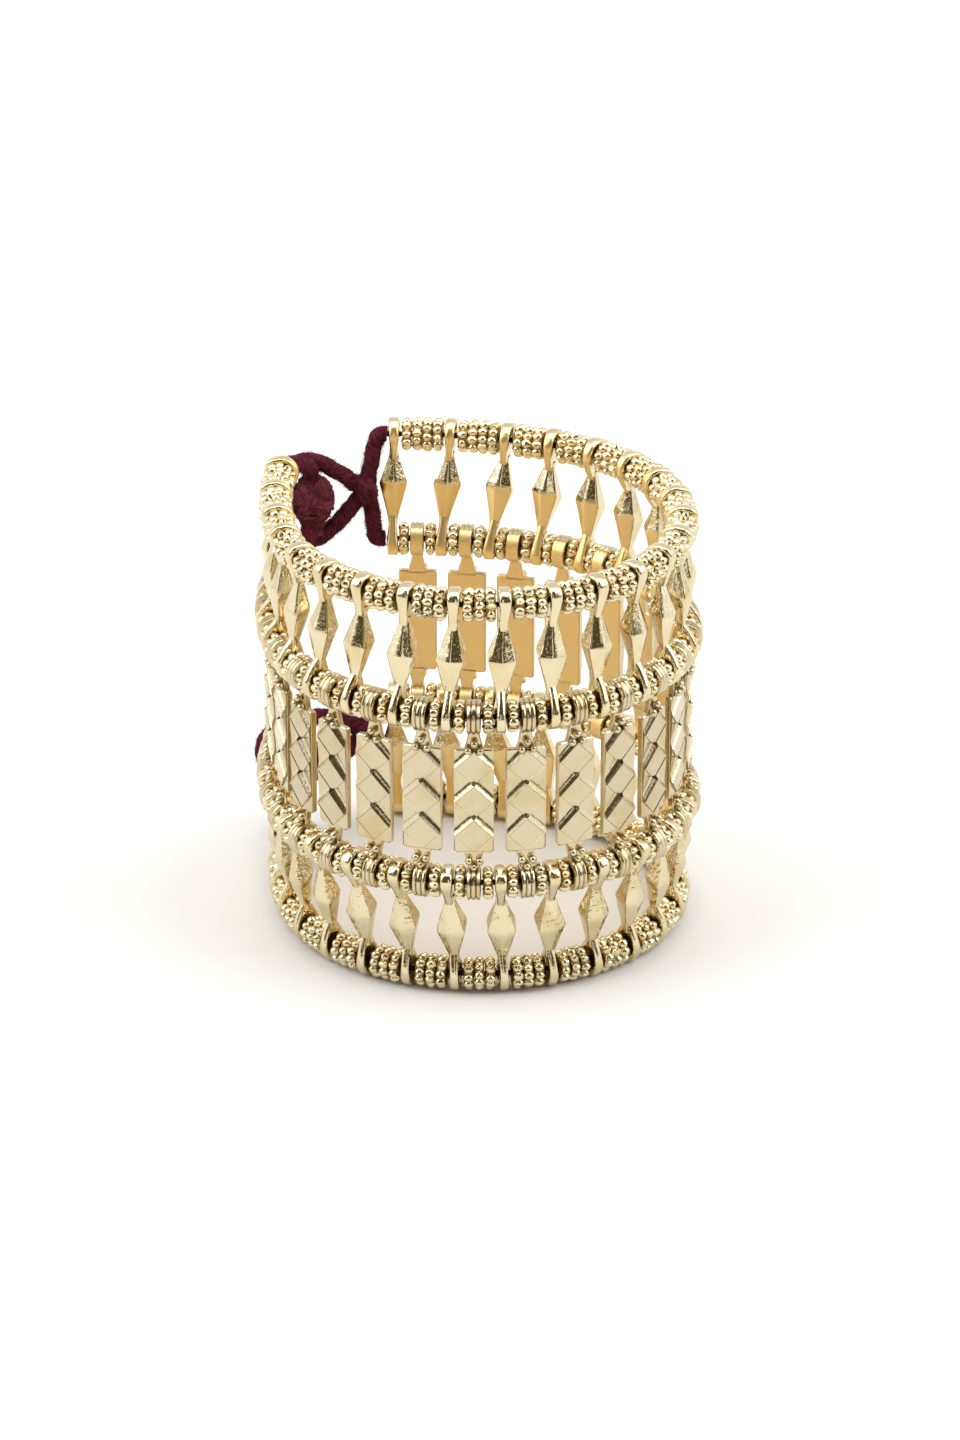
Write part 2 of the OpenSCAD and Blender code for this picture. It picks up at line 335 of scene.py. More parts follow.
def frame_at(point: np.ndarray, up: np.ndarray, out: np.ndarray) -> np.ndarray:
    """Makes the matrix of a place.

    Args:
        point: where it is.
        up: where its +Z points.
        out: which way its +X faces, as near as +Z lets it.

    Returns:
        The 4 x 4 matrix.
    """
    z = unit(up)
    y = unit(np.cross(z, out))
    matrix = np.eye(4)
    matrix[:3] = np.column_stack([np.cross(y, z), y, z, point])
    return matrix


def arc(
    centre: tuple[float, float], radius: float, start: float, end: float, count: int
) -> list[tuple[float, float]]:
    """Gives points on an arc.

    Args:
        centre: its middle.
        radius: its radius.
        start: angle of the first point, in degrees.
        end: angle of the last point.
        count: how many points there are.

    Returns:
        The points.
    """
    return [
        (centre[0] + radius * math.cos(turn), centre[1] + radius * math.sin(turn))
        for turn in np.radians(np.linspace(start, end, count))
    ]


def ring_faces(rings: int, sides: int, closed: bool = False) -> list[tuple[int, ...]]:
    """Joins rings of points by four-sided faces.

    Args:
        rings: how many rings there are.
        sides: points in each ring.
        closed: whether the last ring joins the first.

    Returns:
        The faces.
    """
    faces = []
    for ring in range(rings if closed else rings - 1):
        here = ring * sides
        there = (ring + 1) % rings * sides
        for side in range(sides):
            after = (side + 1) % sides
            faces.append((here + side, here + after, there + after, there + side))
    return faces


def granule_shape(sizes: tuple[float, float, float], around: int = 12, up: int = 7) -> Shape:
    """Makes one round granule of cast metal.

    Args:
        sizes: its radii along X, Y and Z.
        around: faces round it.
        up: faces from pole to pole.

    Returns:
        The granule about its own middle.
    """
    points = [(0.0, 0.0, -1.0)]
    for row in range(1, up):
        tilt = math.pi * row / up
        ring = arc((0.0, 0.0), math.sin(tilt), 0, 360, around + 1)[:-1]
        points.extend((x, y, -math.cos(tilt)) for x, y in ring)
    points.append((0.0, 0.0, 1.0))
    last = len(points) - 1
    faces = [tuple(1 + i for i in face) for face in ring_faces(up - 1, around)]
    top = 1 + (up - 2) * around
    for column in range(around):
        after = (column + 1) % around
        faces.append((0, 1 + after, 1 + column))
        faces.append((last, top + column, top + after))
    return Shape(np.array(points) * np.array(sizes), faces)


def turned_ring(profile: list[tuple[float, float]], sides: int) -> Shape:
    """Turns a closed outline round the thread, which runs along Y.

    Args:
        profile: [radius, place along the thread], anticlockwise with the radius to the right.
        sides: faces round the ring.

    Returns:
        The ring.
    """
    points = []
    for side in range(sides):
        turn = 2 * math.pi * side / sides
        points.extend((r * math.cos(turn), along, r * math.sin(turn)) for r, along in profile)
    return Shape(np.array(points), ring_faces(sides, len(profile), closed=True))


# Yarn and cord


def lengths_along(path: np.ndarray) -> np.ndarray:
    """Gives the length from the start of a path to each of its places."""
    return np.concatenate([[0], np.cumsum(np.linalg.norm(np.diff(path, axis=0), axis=1))])


def directions(path: np.ndarray) -> np.ndarray:
    """Gives the direction of a path at each of its places."""
    ahead = np.gradient(path, axis=0)
    return ahead / np.linalg.norm(ahead, axis=1)[:, None]


def smooth_path(points: list[np.ndarray], step: float) -> np.ndarray:
    """Runs a smooth curve through points and divides it into even steps.

    Args:
        points: what the curve goes through.
        step: distance from one place to the next.

    Returns:
        One row for each place on the curve.
    """
    between_points = 12
    knots = np.array([2 * points[0] - points[1], *points, 2 * points[-1] - points[-2]])
    fine = []
    for k in range(1, len(knots) - 2):
        a, b, c, d = knots[k - 1 : k + 3]
        bend = 2 * a - 5 * b + 4 * c - d
        twist = 3 * b - 3 * c + d - a
        for t in np.linspace(0, 1, between_points, endpoint=False):
            fine.append(0.5 * (2 * b + (c - a) * t + bend * t**2 + twist * t**3))
    fine.append(knots[-2])
    curve = np.array(fine)
    lengths = lengths_along(curve)
    places = np.linspace(0, lengths[-1], max(3, int(lengths[-1] / step) + 1))
    return np.column_stack([np.interp(places, lengths, curve[:, axis]) for axis in range(3)])


def carried_frames(path: np.ndarray) -> tuple[np.ndarray, np.ndarray]:
    """Carries two directions across a path along it, without a twist.

    Args:
        path: the places on the path.

    Returns:
        Both directions, one row for each place.
    """
    ahead = directions(path)
    # Any direction does that no path here starts along
    sideways = [unit(np.cross(ahead[0], [0.31, 0.52, 0.79]))]
    for direction in ahead[1:]:
        sideways.append(unit(sideways[-1] - direction * np.dot(sideways[-1], direction)))
    across = np.array(sideways)
    return across, np.cross(ahead, across)


def yarn_along(path: np.ndarray, radius: float | np.ndarray, sides: int) -> Shape:
    """Lays one round yarn along a path.

    Args:
        path: the places on its middle line.
        radius: its radius, or one for each place.
        sides: faces round it.

    Returns:
        The yarn, closed at both ends.
    """
    across, out = carried_frames(path)
    radii = np.broadcast_to(np.asarray(radius, dtype=float), (len(path),))
    turns = np.linspace(0, 2 * np.pi, sides, endpoint=False)
    rings = [
        path[k] + radii[k] * (np.outer(np.cos(turns), across[k]) + np.outer(np.sin(turns), out[k]))
        for k in range(len(path))
    ]
    faces = ring_faces(len(path), sides)
    lengths = lengths_along(path)
    corners = []
    for here, there in zip(lengths[:-1], lengths[1:]):
        for side in range(sides):
            left, right = side / sides, (side + 1) / sides
            corners.extend([(left, here), (right, here), (right, there), (left, there)])
    last = (len(path) - 1) * sides
    faces.append(tuple(range(sides - 1, -1, -1)))
    faces.append(tuple(last + side for side in range(sides)))
    corners.extend([(0.0, 0.0)] * sides + [(0.0, lengths[-1])] * sides)
    return Shape(np.concatenate(rings), faces, np.array(corners))


def plied_yarns(path: np.ndarray, radius: float, pitch: float, plies: int, sides: int) -> list[Shape]:
    """Twists several lumpy yarns round each other along a path.

    Args:
        path: the places on the cord's middle line.
        radius: radius of the whole cord.
        pitch: length of one full twist.
        plies: how many yarns there are.
        sides: faces round each yarn.

    Returns:
        The yarns.
    """
    yarn_at, yarn_radius = 0.2 * radius, 0.82 * radius
    across, out = carried_frames(path)
    lengths = lengths_along(path)
    yarns = []
    for ply in range(plies):
        turn = 2 * np.pi * (lengths / pitch + ply / plies)
        offset = np.cos(turn)[:, None] * across + np.sin(turn)[:, None] * out
        lumps = 1 + 0.05 * np.sin(lengths * 1.9 + ply * 2.1) + 0.03 * np.sin(lengths * 4.3 + ply)
        yarns.append(yarn_along(path + yarn_at * offset, yarn_radius * lumps, sides))
    return yarns


def loose_fibres(path: np.ndarray, radius: float, count: int, seed: int) -> list[Shape]:
    """Makes the short fibres that stand off a cotton cord.

    Args:
        path: the places on the cord's middle line.
        radius: radius of the cord.
        count: how many fibres there are.
        seed: seed of their places.

    Returns:
        The fibres.
    """
    root_at = radius * 0.9
    thickness = np.array([0.024, 0.02, 0.01])
    shortest, longest = 0.15, 0.5
    most_aside = 0.6
    bend_at = 0.6
    chance = np.random.default_rng(seed)
    across, out = carried_frames(path)
    ahead = directions(path)
    fibres = []
    for _ in range(count):
        k = int(chance.integers(1, len(path) - 1))
        turn = chance.uniform(0, 2 * np.pi)
        away = math.cos(turn) * across[k] + math.sin(turn) * out[k]
        lean = ahead[k] * chance.uniform(-1, 1)
        lean = lean + np.cross(ahead[k], away) * chance.uniform(-most_aside, most_aside)
        root = path[k] + away * root_at
        reach = chance.uniform(shortest, longest)
        bend = root + away * reach * bend_at + lean * reach
        tip = root + away * reach + lean * reach * 2
        fibres.append(yarn_along(np.array([root, bend, tip]), thickness, 3))
    return fibres


# The cuff's layout, which repeats the part's own sizes


@dataclass(frozen=True)
class Thread:
    """One of the four stringing threads.

    Attributes:
        name: its name in the part.
        kind: rim or middle.
        radius: radius of its loop.
        back: how far it sits towards the back.
        height: its height.
    """

    name: str
    kind: ThreadKind
    radius: float
    back: float
    height: float

    @property
    def eyelet_width(self) -> float:
        """Width of a spindle's eyelet on this thread."""
        return 1.78 if self.kind is ThreadKind.RIM else 1.44

    @property
    def strap_width(self) -> float:
        """Width of the strap that a spindle's loop shows over it."""
        return 1.78 if self.kind is ThreadKind.RIM else 1.7


TOP = Thread("top", ThreadKind.RIM, 28.4, 1.0, 59.75)
UPPER = Thread("upper", ThreadKind.MIDDLE, 29.0, -1.2, 43.9)
LOWER = Thread("lower", ThreadKind.MIDDLE, 29.0, -1.6, 18.35)
BOTTOM = Thread("bottom", ThreadKind.RIM, 27.6, 0.0, 2.5)


@dataclass(frozen=True)
class CuffLayout:
    """Where each link sits. Angles are degrees along the chain from its middle.

    Attributes:
        spindles: spindle links in a row.
        short_step: angle between spindles with three beads between them.
        long_step: angle between spindles with four.
        chain_turn: direction that the middle of the chain faces.
        round_half: half of the chain that is a round arc.
        end_flare: how many times wider the bend is beyond it.
        centring: shift of the whole cuff.
    """

    spindles: int = 24
    short_step: float = 13.85
    long_step: float = 16.75
    chain_turn: float = 311.0
    round_half: float = 118.0
    end_flare: float = 2.2
    centring: tuple[float, float] = (0.44, -0.53)

    @property
    def tiles(self) -> int:
        """Tile links in their row, and groups of beads in a rim."""
        return self.spindles - 1

    def beads_in_group(self, k: int) -> int:
        """Number of beads in group k of a rim."""
        return 4 if k < 2 or k > self.tiles - 3 else 3

    def group_step(self, k: int) -> float:
        """Angle between the spindles at both sides of group k of a rim."""
        return self.long_step if self.beads_in_group(k) == 4 else self.short_step

    @property
    def chain_half(self) -> float:
        """Angle from the middle of the chain to its last spindle."""
        return (4 * self.long_step + (self.tiles - 4) * self.short_step) / 2

    @property
    def middle_step(self) -> float:
        """Angle between the links on a middle thread."""
        return 2 * self.chain_half / self.tiles

    def link_angle(self, kind: ThreadKind, k: float) -> float:
        """Gives the chain angle of a link.

        Args:
            kind: the kind of thread that it sits on.
            k: number of a spindle, and a half more for the middle of the way to the next.

        Returns:
            The angle in degrees.
        """
        if kind is ThreadKind.MIDDLE:
            return k * self.middle_step - self.chain_half
        angle = -self.chain_half
        for group in range(math.ceil(k)):
            angle += self.group_step(group) * min(k - group, 1)
        return angle

    def bend(self, angle: float) -> tuple[float, float, float]:
        """Splits a chain angle into its side, its round part and the flatter part beyond."""
        turn = min(abs(angle), self.round_half)
        return (-1.0 if angle < 0 else 1.0), turn, (abs(angle) - turn) / self.end_flare

    def point(self, thread: Thread, angle: float) -> np.ndarray:
        """Gives a point of a thread.

        Args:
            thread: the thread.
            angle: the chain angle there.

        Returns:
            The point in millimetres.
        """
        side, turn, beyond = self.bend(angle)
        round_angle = math.radians(turn)
        full_angle = math.radians(turn + beyond)
        flare = self.end_flare
        x = (1 - flare) * math.cos(round_angle) + flare * math.cos(full_angle)
        y = side * ((1 - flare) * math.sin(round_angle) + flare * math.sin(full_angle))
        tilt = math.radians(self.chain_turn)
        forward = thread.radius * (x * math.cos(tilt) - y * math.sin(tilt))
        sideways = thread.radius * (x * math.sin(tilt) + y * math.cos(tilt))
        shift_x, shift_y = self.centring
        return np.array([forward + shift_x, sideways + thread.back + shift_y, thread.height])

    def outwards(self, angle: float) -> np.ndarray:
        """Gives the direction that faces outwards.

        Args:
            angle: the chain angle there.

        Returns:
            The direction, of length one.
        """
        side, turn, beyond = self.bend(angle)
        facing = math.radians(self.chain_turn + side * (turn + beyond))
        return np.array([math.cos(facing), math.sin(facing), 0.0])

    def place(self, thread: Thread, angle: float) -> np.ndarray:
        """Gives the matrix of a place on a thread: +X outwards, +Y along the thread, +Z up."""
        return frame_at(self.point(thread, angle), UP, self.outwards(angle))

    def between(
        self, upper: tuple[Thread, float], lower: tuple[Thread, float]
    ) -> tuple[np.ndarray, float]:
        """Gives the place half-way between two threads.

        Args:
            upper: the upper thread and the chain angle there.
            lower: the lower thread and the chain angle there.

        Returns:
            The matrix, with +Z from the lower to the upper thread, and the distance.
        """
        a = self.point(*upper)
        b = self.point(*lower)
        out = self.outwards((upper[1] + lower[1]) / 2)
        return frame_at((a + b) / 2, a - b, out), float(np.linalg.norm(a - b))


# Finishes


@dataclass(frozen=True)
class PaleGoldPlate:
    """Cast brass under a thin pale gold plating, tumbled bright.

    The plating is a mirror that copies the white studio in cream. The casting under it keeps
    small pits and a soft unevenness, which break each reflection into ragged patches. They are
    coarser on the facets that lay uppermost in the mould, where the gas gathered. The media of
    the tumbler don't reach the side that faces the wrist, which stays smooth and satin. Its own
    colour there, a deeper gold by default, is painted light that stands in for the warm light the
    gold around it throws inside the cuff. On the spindles, the facets of that side that face up keep
    the pale outer colour and gloss as a painted highlight.

    Attributes:
        name: the material's name.
        light: colour of the plating.
        worn: colour where tumbling wore it warmer.
        inner: colour of the satin side, painted light that stands in for the light it gets inside the
            cuff.
        roughness: lowest and highest roughness.
        inner_roughness: roughness of the satin side.
        pit_mm: size of a casting pit. Real ones are about 0.1 mm and wouldn't show.
        pit_depth_mm: depth of the pits.
        swell_mm: width of the soft unevenness.
        swell_depth_mm: height of it.
        upper_swell_depth_mm: height of it on surfaces that face up a little, in patches.
        wear_mm: size of the patches.
        bright_inner_tops: whether surfaces of the satin side that face up keep the pale outer colour, a
            painted highlight.
    """

    name: str
    light: str = "#DED1AF"
    worn: str = "#D4BC88"
    inner: str = "#F6D897"
    roughness: tuple[float, float] = (0.06, 0.15)
    inner_roughness: float = 0.42
    pit_mm: float = 0.35
    pit_depth_mm: float = 0.02
    swell_mm: float = 1.4
    swell_depth_mm: float = 0.03
    upper_swell_depth_mm: float = 0.03
    wear_mm: float = 6.0
    bright_inner_tops: bool = False

    def faces_wrist(self, nodes: Nodes, where: bpy.types.NodeSocket) -> bpy.types.NodeSocket:
        """Tells where a surface faces the cuff's middle line.

        Args:
            nodes: what adds nodes to the material.
            where: the place on the cuff.

        Returns:
            One where it does and zero elsewhere.
        """
        normal = nodes.normal()
        outwards = nodes.add("VectorMath", {0: where, 1: (1.0, 1.0, 0.0)}, operation="MULTIPLY")
        level = nodes.add("VectorMath", {0: outwards[0]}, operation="NORMALIZE")
        facing = nodes.add("VectorMath", {0: level[0], 1: normal}, operation="DOT_PRODUCT")
        inwards = nodes.remap(facing["Value"], start=-0.2, end=-0.75, smooth=True)
        if not self.bright_inner_tops:
            return inwards
        # Surfaces on the wrist side that face up leave the mask and keep the pale outer colour: a
        # painted highlight on the upper inner facets.
        return nodes.remap(nodes.split(normal)["Z"], start=0.09, end=0.02, high=inwards)

    def make(self) -> bpy.types.Material:
        """Makes the material.

        Returns:
            The material with all its nodes.
        """
        material, nodes = new_material(self.name)
        where = nodes.coordinate("Object")
        inside = self.faces_wrist(nodes, where)
        wear = nodes.noise(where, 1 / (self.wear_mm * MILLIMETRE), detail=3.0, roughness=0.6)
        # Casting: coarse patches above, calm on the satin side, and pits all over
        swell = nodes.noise(where, 1 / (self.swell_mm * MILLIMETRE), detail=2.0)
        calm = self.swell_depth_mm * MILLIMETRE
        coarse = self.upper_swell_depth_mm * MILLIMETRE
        patches = nodes.remap(wear, start=0.44, end=0.54, low=calm, high=coarse)
        height = nodes.split(nodes.normal())["Z"]
        outer_swell = nodes.remap(height, start=-0.12, end=0.03, low=calm, high=patches)
        uneven = nodes.bump(swell, nodes.remap(inside, 0.0, 1.0, low=outer_swell, high=0.0))
        pits = nodes.noise(where, 1 / (self.pit_mm * MILLIMETRE), detail=2.0, roughness=0.55)
        only_pits = nodes.remap(pits, start=0.3, end=0.48, smooth=True)
        pitted = nodes.bump(only_pits, self.pit_depth_mm * MILLIMETRE, uneven)
        # Plating: warmer where it is worn, duller in patches, satin inside, and painted light in the
        # colour of the side that faces the wrist
        outer_tone = nodes.mix(nodes.remap(wear, start=0.45, end=0.8), self.light, self.worn)
        lowest, highest = self.roughness
        gloss = nodes.remap(wear, start=0.3, end=0.7, low=lowest, high=highest)
        nodes.dress(
            {
                "Base Color": nodes.mix(inside, outer_tone, self.inner),
                "Metallic": 1.0,
                "Roughness": nodes.remap(inside, 0.0, 1.0, low=gloss, high=self.inner_roughness),
                "Normal": pitted,
            }
        )
        return material


# The beads' side that faces the wrist is painted paler, as light falling there.
BEAD_GOLD = PaleGoldPlate(
    "pale_gold_granules",
    inner="#F0DFB4",
    roughness=(0.05, 0.12),
    inner_roughness=0.14,
    pit_depth_mm=0.01,
    swell_mm=0.55,
    swell_depth_mm=0.04,
    upper_swell_depth_mm=0.04,
)
# Dark brown for the hubs that show between the granules: painted shade in those gaps, not a colour of
# the metal.
PAINTED_SHADE_GOLD = PaleGoldPlate(
    "brown_painted_shade_between_granules",
    light="#A07E44",
    worn="#6E4F26",
    inner="#B8944E",
    roughness=(0.35, 0.6),
)
SPINDLE_GOLD = PaleGoldPlate(
    "pale_gold_pitted_casting",
    inner_roughness=0.3,
    pit_depth_mm=0.012,
    swell_mm=0.95,
    upper_swell_depth_mm=0.06,
    bright_inner_tops=True,
)
COARSE_GOLD = PaleGoldPlate(
    "pale_gold_coarse_casting",
    inner_roughness=0.3,
    pit_depth_mm=0.014,
    swell_mm=0.6,
    upper_swell_depth_mm=0.3,
    bright_inner_tops=True,
)
LOOP_GOLD = PaleGoldPlate("pale_gold_loops", inner_roughness=0.3, pit_depth_mm=0.012)
TILE_GOLD = PaleGoldPlate(
    "pale_gold_flat_casting",
    light="#CEC1A3",
    worn="#C4AD7C",
    roughness=(0.12, 0.22),
    pit_depth_mm=0.008,
    swell_depth_mm=0.016,
    upper_swell_depth_mm=0.05,
)


@dataclass(frozen=True)
class DyedCotton:
    """Spun and dyed cotton yarn, matt, with a haze of fibres that lightens its edges.

    Attributes:
        name: the material's name.
        dark: colour in the hollows between fibres, a painted shade that follows the bump's hollows.
        light: colour of the fibres on top.
        roughness: roughness of the yarn.
        fibre_mm: width of a bundle of fibres. Single fibres are 0.02 mm and wouldn't show.
        slant: turns round the yarn that a fibre makes in a millimetre.
        stretch: how much slower the bundles change along the yarn than round it.
        bump_mm: height of the fibre bundles.
    """

    name: str
    dark: str = "#340C17"
    light: str = "#692537"
    roughness: float = 0.9
    fibre_mm: float = 0.28
    slant: float = 0.35
    stretch: float = 0.12
    bump_mm: float = 0.06

    def make(self) -> bpy.types.Material:
        """Makes the material.

        Returns:
            The material with all its nodes.
        """
        material, nodes = new_material(self.name)
        # X is the turn round the yarn and Y the millimetres along it
        place = nodes.split(nodes.coordinate("UV"))
        slanted = nodes.calculate("MULTIPLY_ADD", place["Y"], self.slant, place["X"])
        along = nodes.calculate("MULTIPLY", place["Y"], self.stretch)
        streaks = nodes.add("CombineXYZ", {"X": slanted, "Y": along})[0]
        turn_mm = 3.6
        fibres = nodes.noise(streaks, turn_mm / self.fibre_mm, detail=3.0)
        # The pattern that raises the fibres also sets their colour, darkest in its hollows: painted
        # shade between the fibre bundles.
        shades = nodes.remap(fibres, start=0.34, end=0.66)
        nodes.dress(
            {
                "Base Color": nodes.mix(shades, self.dark, self.light),
                "Roughness": self.roughness,
                "IOR": 1.5,
                "Specular IOR Level": 0.15,
                "Sheen Weight": 0.06,
                "Sheen Roughness": 0.5,
                "Sheen Tint": linear("#B0506A"),
                "Normal": nodes.bump(fibres, self.bump_mm * MILLIMETRE),
            }
        )
        return material


CORD_COTTON = DyedCotton("dyed_cotton_cord")
WINDING_COTTON = DyedCotton("wound_cotton_thread", light="#7C3846", fibre_mm=0.6)
# The stringing thread is nearly black: it shows only in the narrow gaps between links, and its darkness
# is partly the thread's own colour and partly painted shade in those gaps.
THREAD_COTTON = DyedCotton(
    "dark_stringing_thread_painted_gap_shade", dark="#17080B", light="#2F1419", roughness=0.6, bump_mm=0.02
)


# Links


@dataclass(frozen=True)
class SpacerBeads:
    """The granulated spacer beads on one thread.

    Attributes:
        thread: the thread that they hang on.
        layout: where the links sit.
        width: width of a bead along a middle thread.
        rim_slack: room in each group of a rim, in widths of a bead.
        granules: granules round a bead.
        granule_at: distance from the thread to the middle of a granule.
        granule_radii: radii of a granule outwards and round the bead.
        hub_radius: radius of the hub between the granules.
        hub_inset: how far its ends lie within the granules.
        granule_past: how far a granule stands out of the bead's width at each side.
        granule_sizes: smallest and largest granule, against its own radii.
        spread: how unevenly the granules stand, in steps from one to the next.
        shift: how far a granule sits off the bead's middle.
        dents: how uneven a granule is, against its size.
    """

    thread: Thread
    layout: CuffLayout
    width: float = 1.52
    rim_slack: float = 0.3
    granules: int = 10
    granule_at: float = 1.78
    granule_radii: tuple[float, float] = (0.72, 0.66)
    hub_radius: float = 1.75
    hub_inset: float = 0.1
    granule_past: float = 0.05
    granule_sizes: tuple[float, float] = (0.88, 1.02)
    spread: float = 0.08
    shift: float = 0.05
    dents: float = 0.14

    def places(self) -> list[tuple[np.ndarray, float]]:
        """Works out where the beads sit.

        Returns:
            The matrix and the width of each bead.
        """
        layout = self.layout
        eyelet = self.thread.eyelet_width
        degree = self.thread.radius * math.pi / 180
        made = []
        for k in range(layout.tiles):
            middle = layout.link_angle(self.thread.kind, k + 0.5)
            if self.thread.kind is ThreadKind.RIM:
                count = layout.beads_in_group(k)
                width = (layout.group_step(k) * degree - eyelet) / (count + self.rim_slack)
                shifts = [(bead - (count - 1) / 2) * width / degree for bead in range(count)]
            else:
                width = self.width
                gap = (layout.middle_step * degree - (eyelet + RING_WIDTH + 2 * width)) / 4
                shift = ((RING_WIDTH + width) / 2 + gap) / degree
                shifts = [-shift, shift]
            for shift in shifts:
                made.append((layout.place(self.thread, middle + shift), width))
        return made

    def bead(self, width: float, chance: np.random.Generator) -> tuple[Shape, list[Shape]]:
        """Makes one bead: a bored hub with granules round it, each a little different.

        Args:
            width: width of the bead along the thread.
            chance: source of the small differences.

        Returns:
            The hub and the granules, with the thread along Y.
        """
        half = width / 2 - self.hub_inset
        outer = self.hub_radius
        profile = [(BORE_RADIUS, -half), (outer, -half), (outer, half), (BORE_RADIUS, half)]
        hub = turned_ring(profile, 18)
        granules = []
        start = chance.uniform(0, 2 * math.pi)
        outwards, around = self.granule_radii
        ball = granule_shape((outwards, width / 2 + self.granule_past, around))
        middles = ball.points / np.linalg.norm(ball.points, axis=1)[:, None]
        for granule in range(self.granules):
            uneven_step = granule + chance.uniform(-self.spread, self.spread)
            turn = start + 2 * math.pi * uneven_step / self.granules
            size = chance.uniform(*self.granule_sizes)
            out = np.array([math.cos(turn), 0, math.sin(turn)])
            matrix = np.eye(4)
            matrix[:3, 0] = size * out
            matrix[:3, 1] = [0, size, 0]
            matrix[:3, 2] = [-size * math.sin(turn), 0, size * math.cos(turn)]
            matrix[:3, 3] = self.granule_at * out
            matrix[1, 3] = chance.uniform(-self.shift, self.shift)
            waves = np.sin(middles * chance.uniform(2.0, 5.0, 3) + chance.uniform(0, 6.0, 3))
            uneven = ball.points * (1 + self.dents * waves.mean(axis=1))[:, None]
            granules.append(Shape(uneven, ball.faces).placed(matrix))
        return hub, granules

    def build(self, gold: bpy.types.Material, hollow: bpy.types.Material) -> None:
        """Builds all the beads of the thread as one piece.

        Args:
            gold: finish of the granules.
            hollow: finish of the hubs between them, a dark brown that paints shade into the gaps between
                the granules.
        """
        chance = np.random.default_rng(int(self.thread.height * 10))
        piece = Piece(f"spacer_beads_{self.thread.name}")
        for matrix, width in self.places():
            hub, granules = self.bead(width, chance)
            # The hub shows only between the granules, and its dark finish paints the shade there.
            piece.add(hub, matrix=matrix, finish=1)
            piece.add(*granules, matrix=matrix)
        piece.hand_in([gold, hollow], FinishSlot.CAST_GOLD, f"beads_{self.thread.name}")


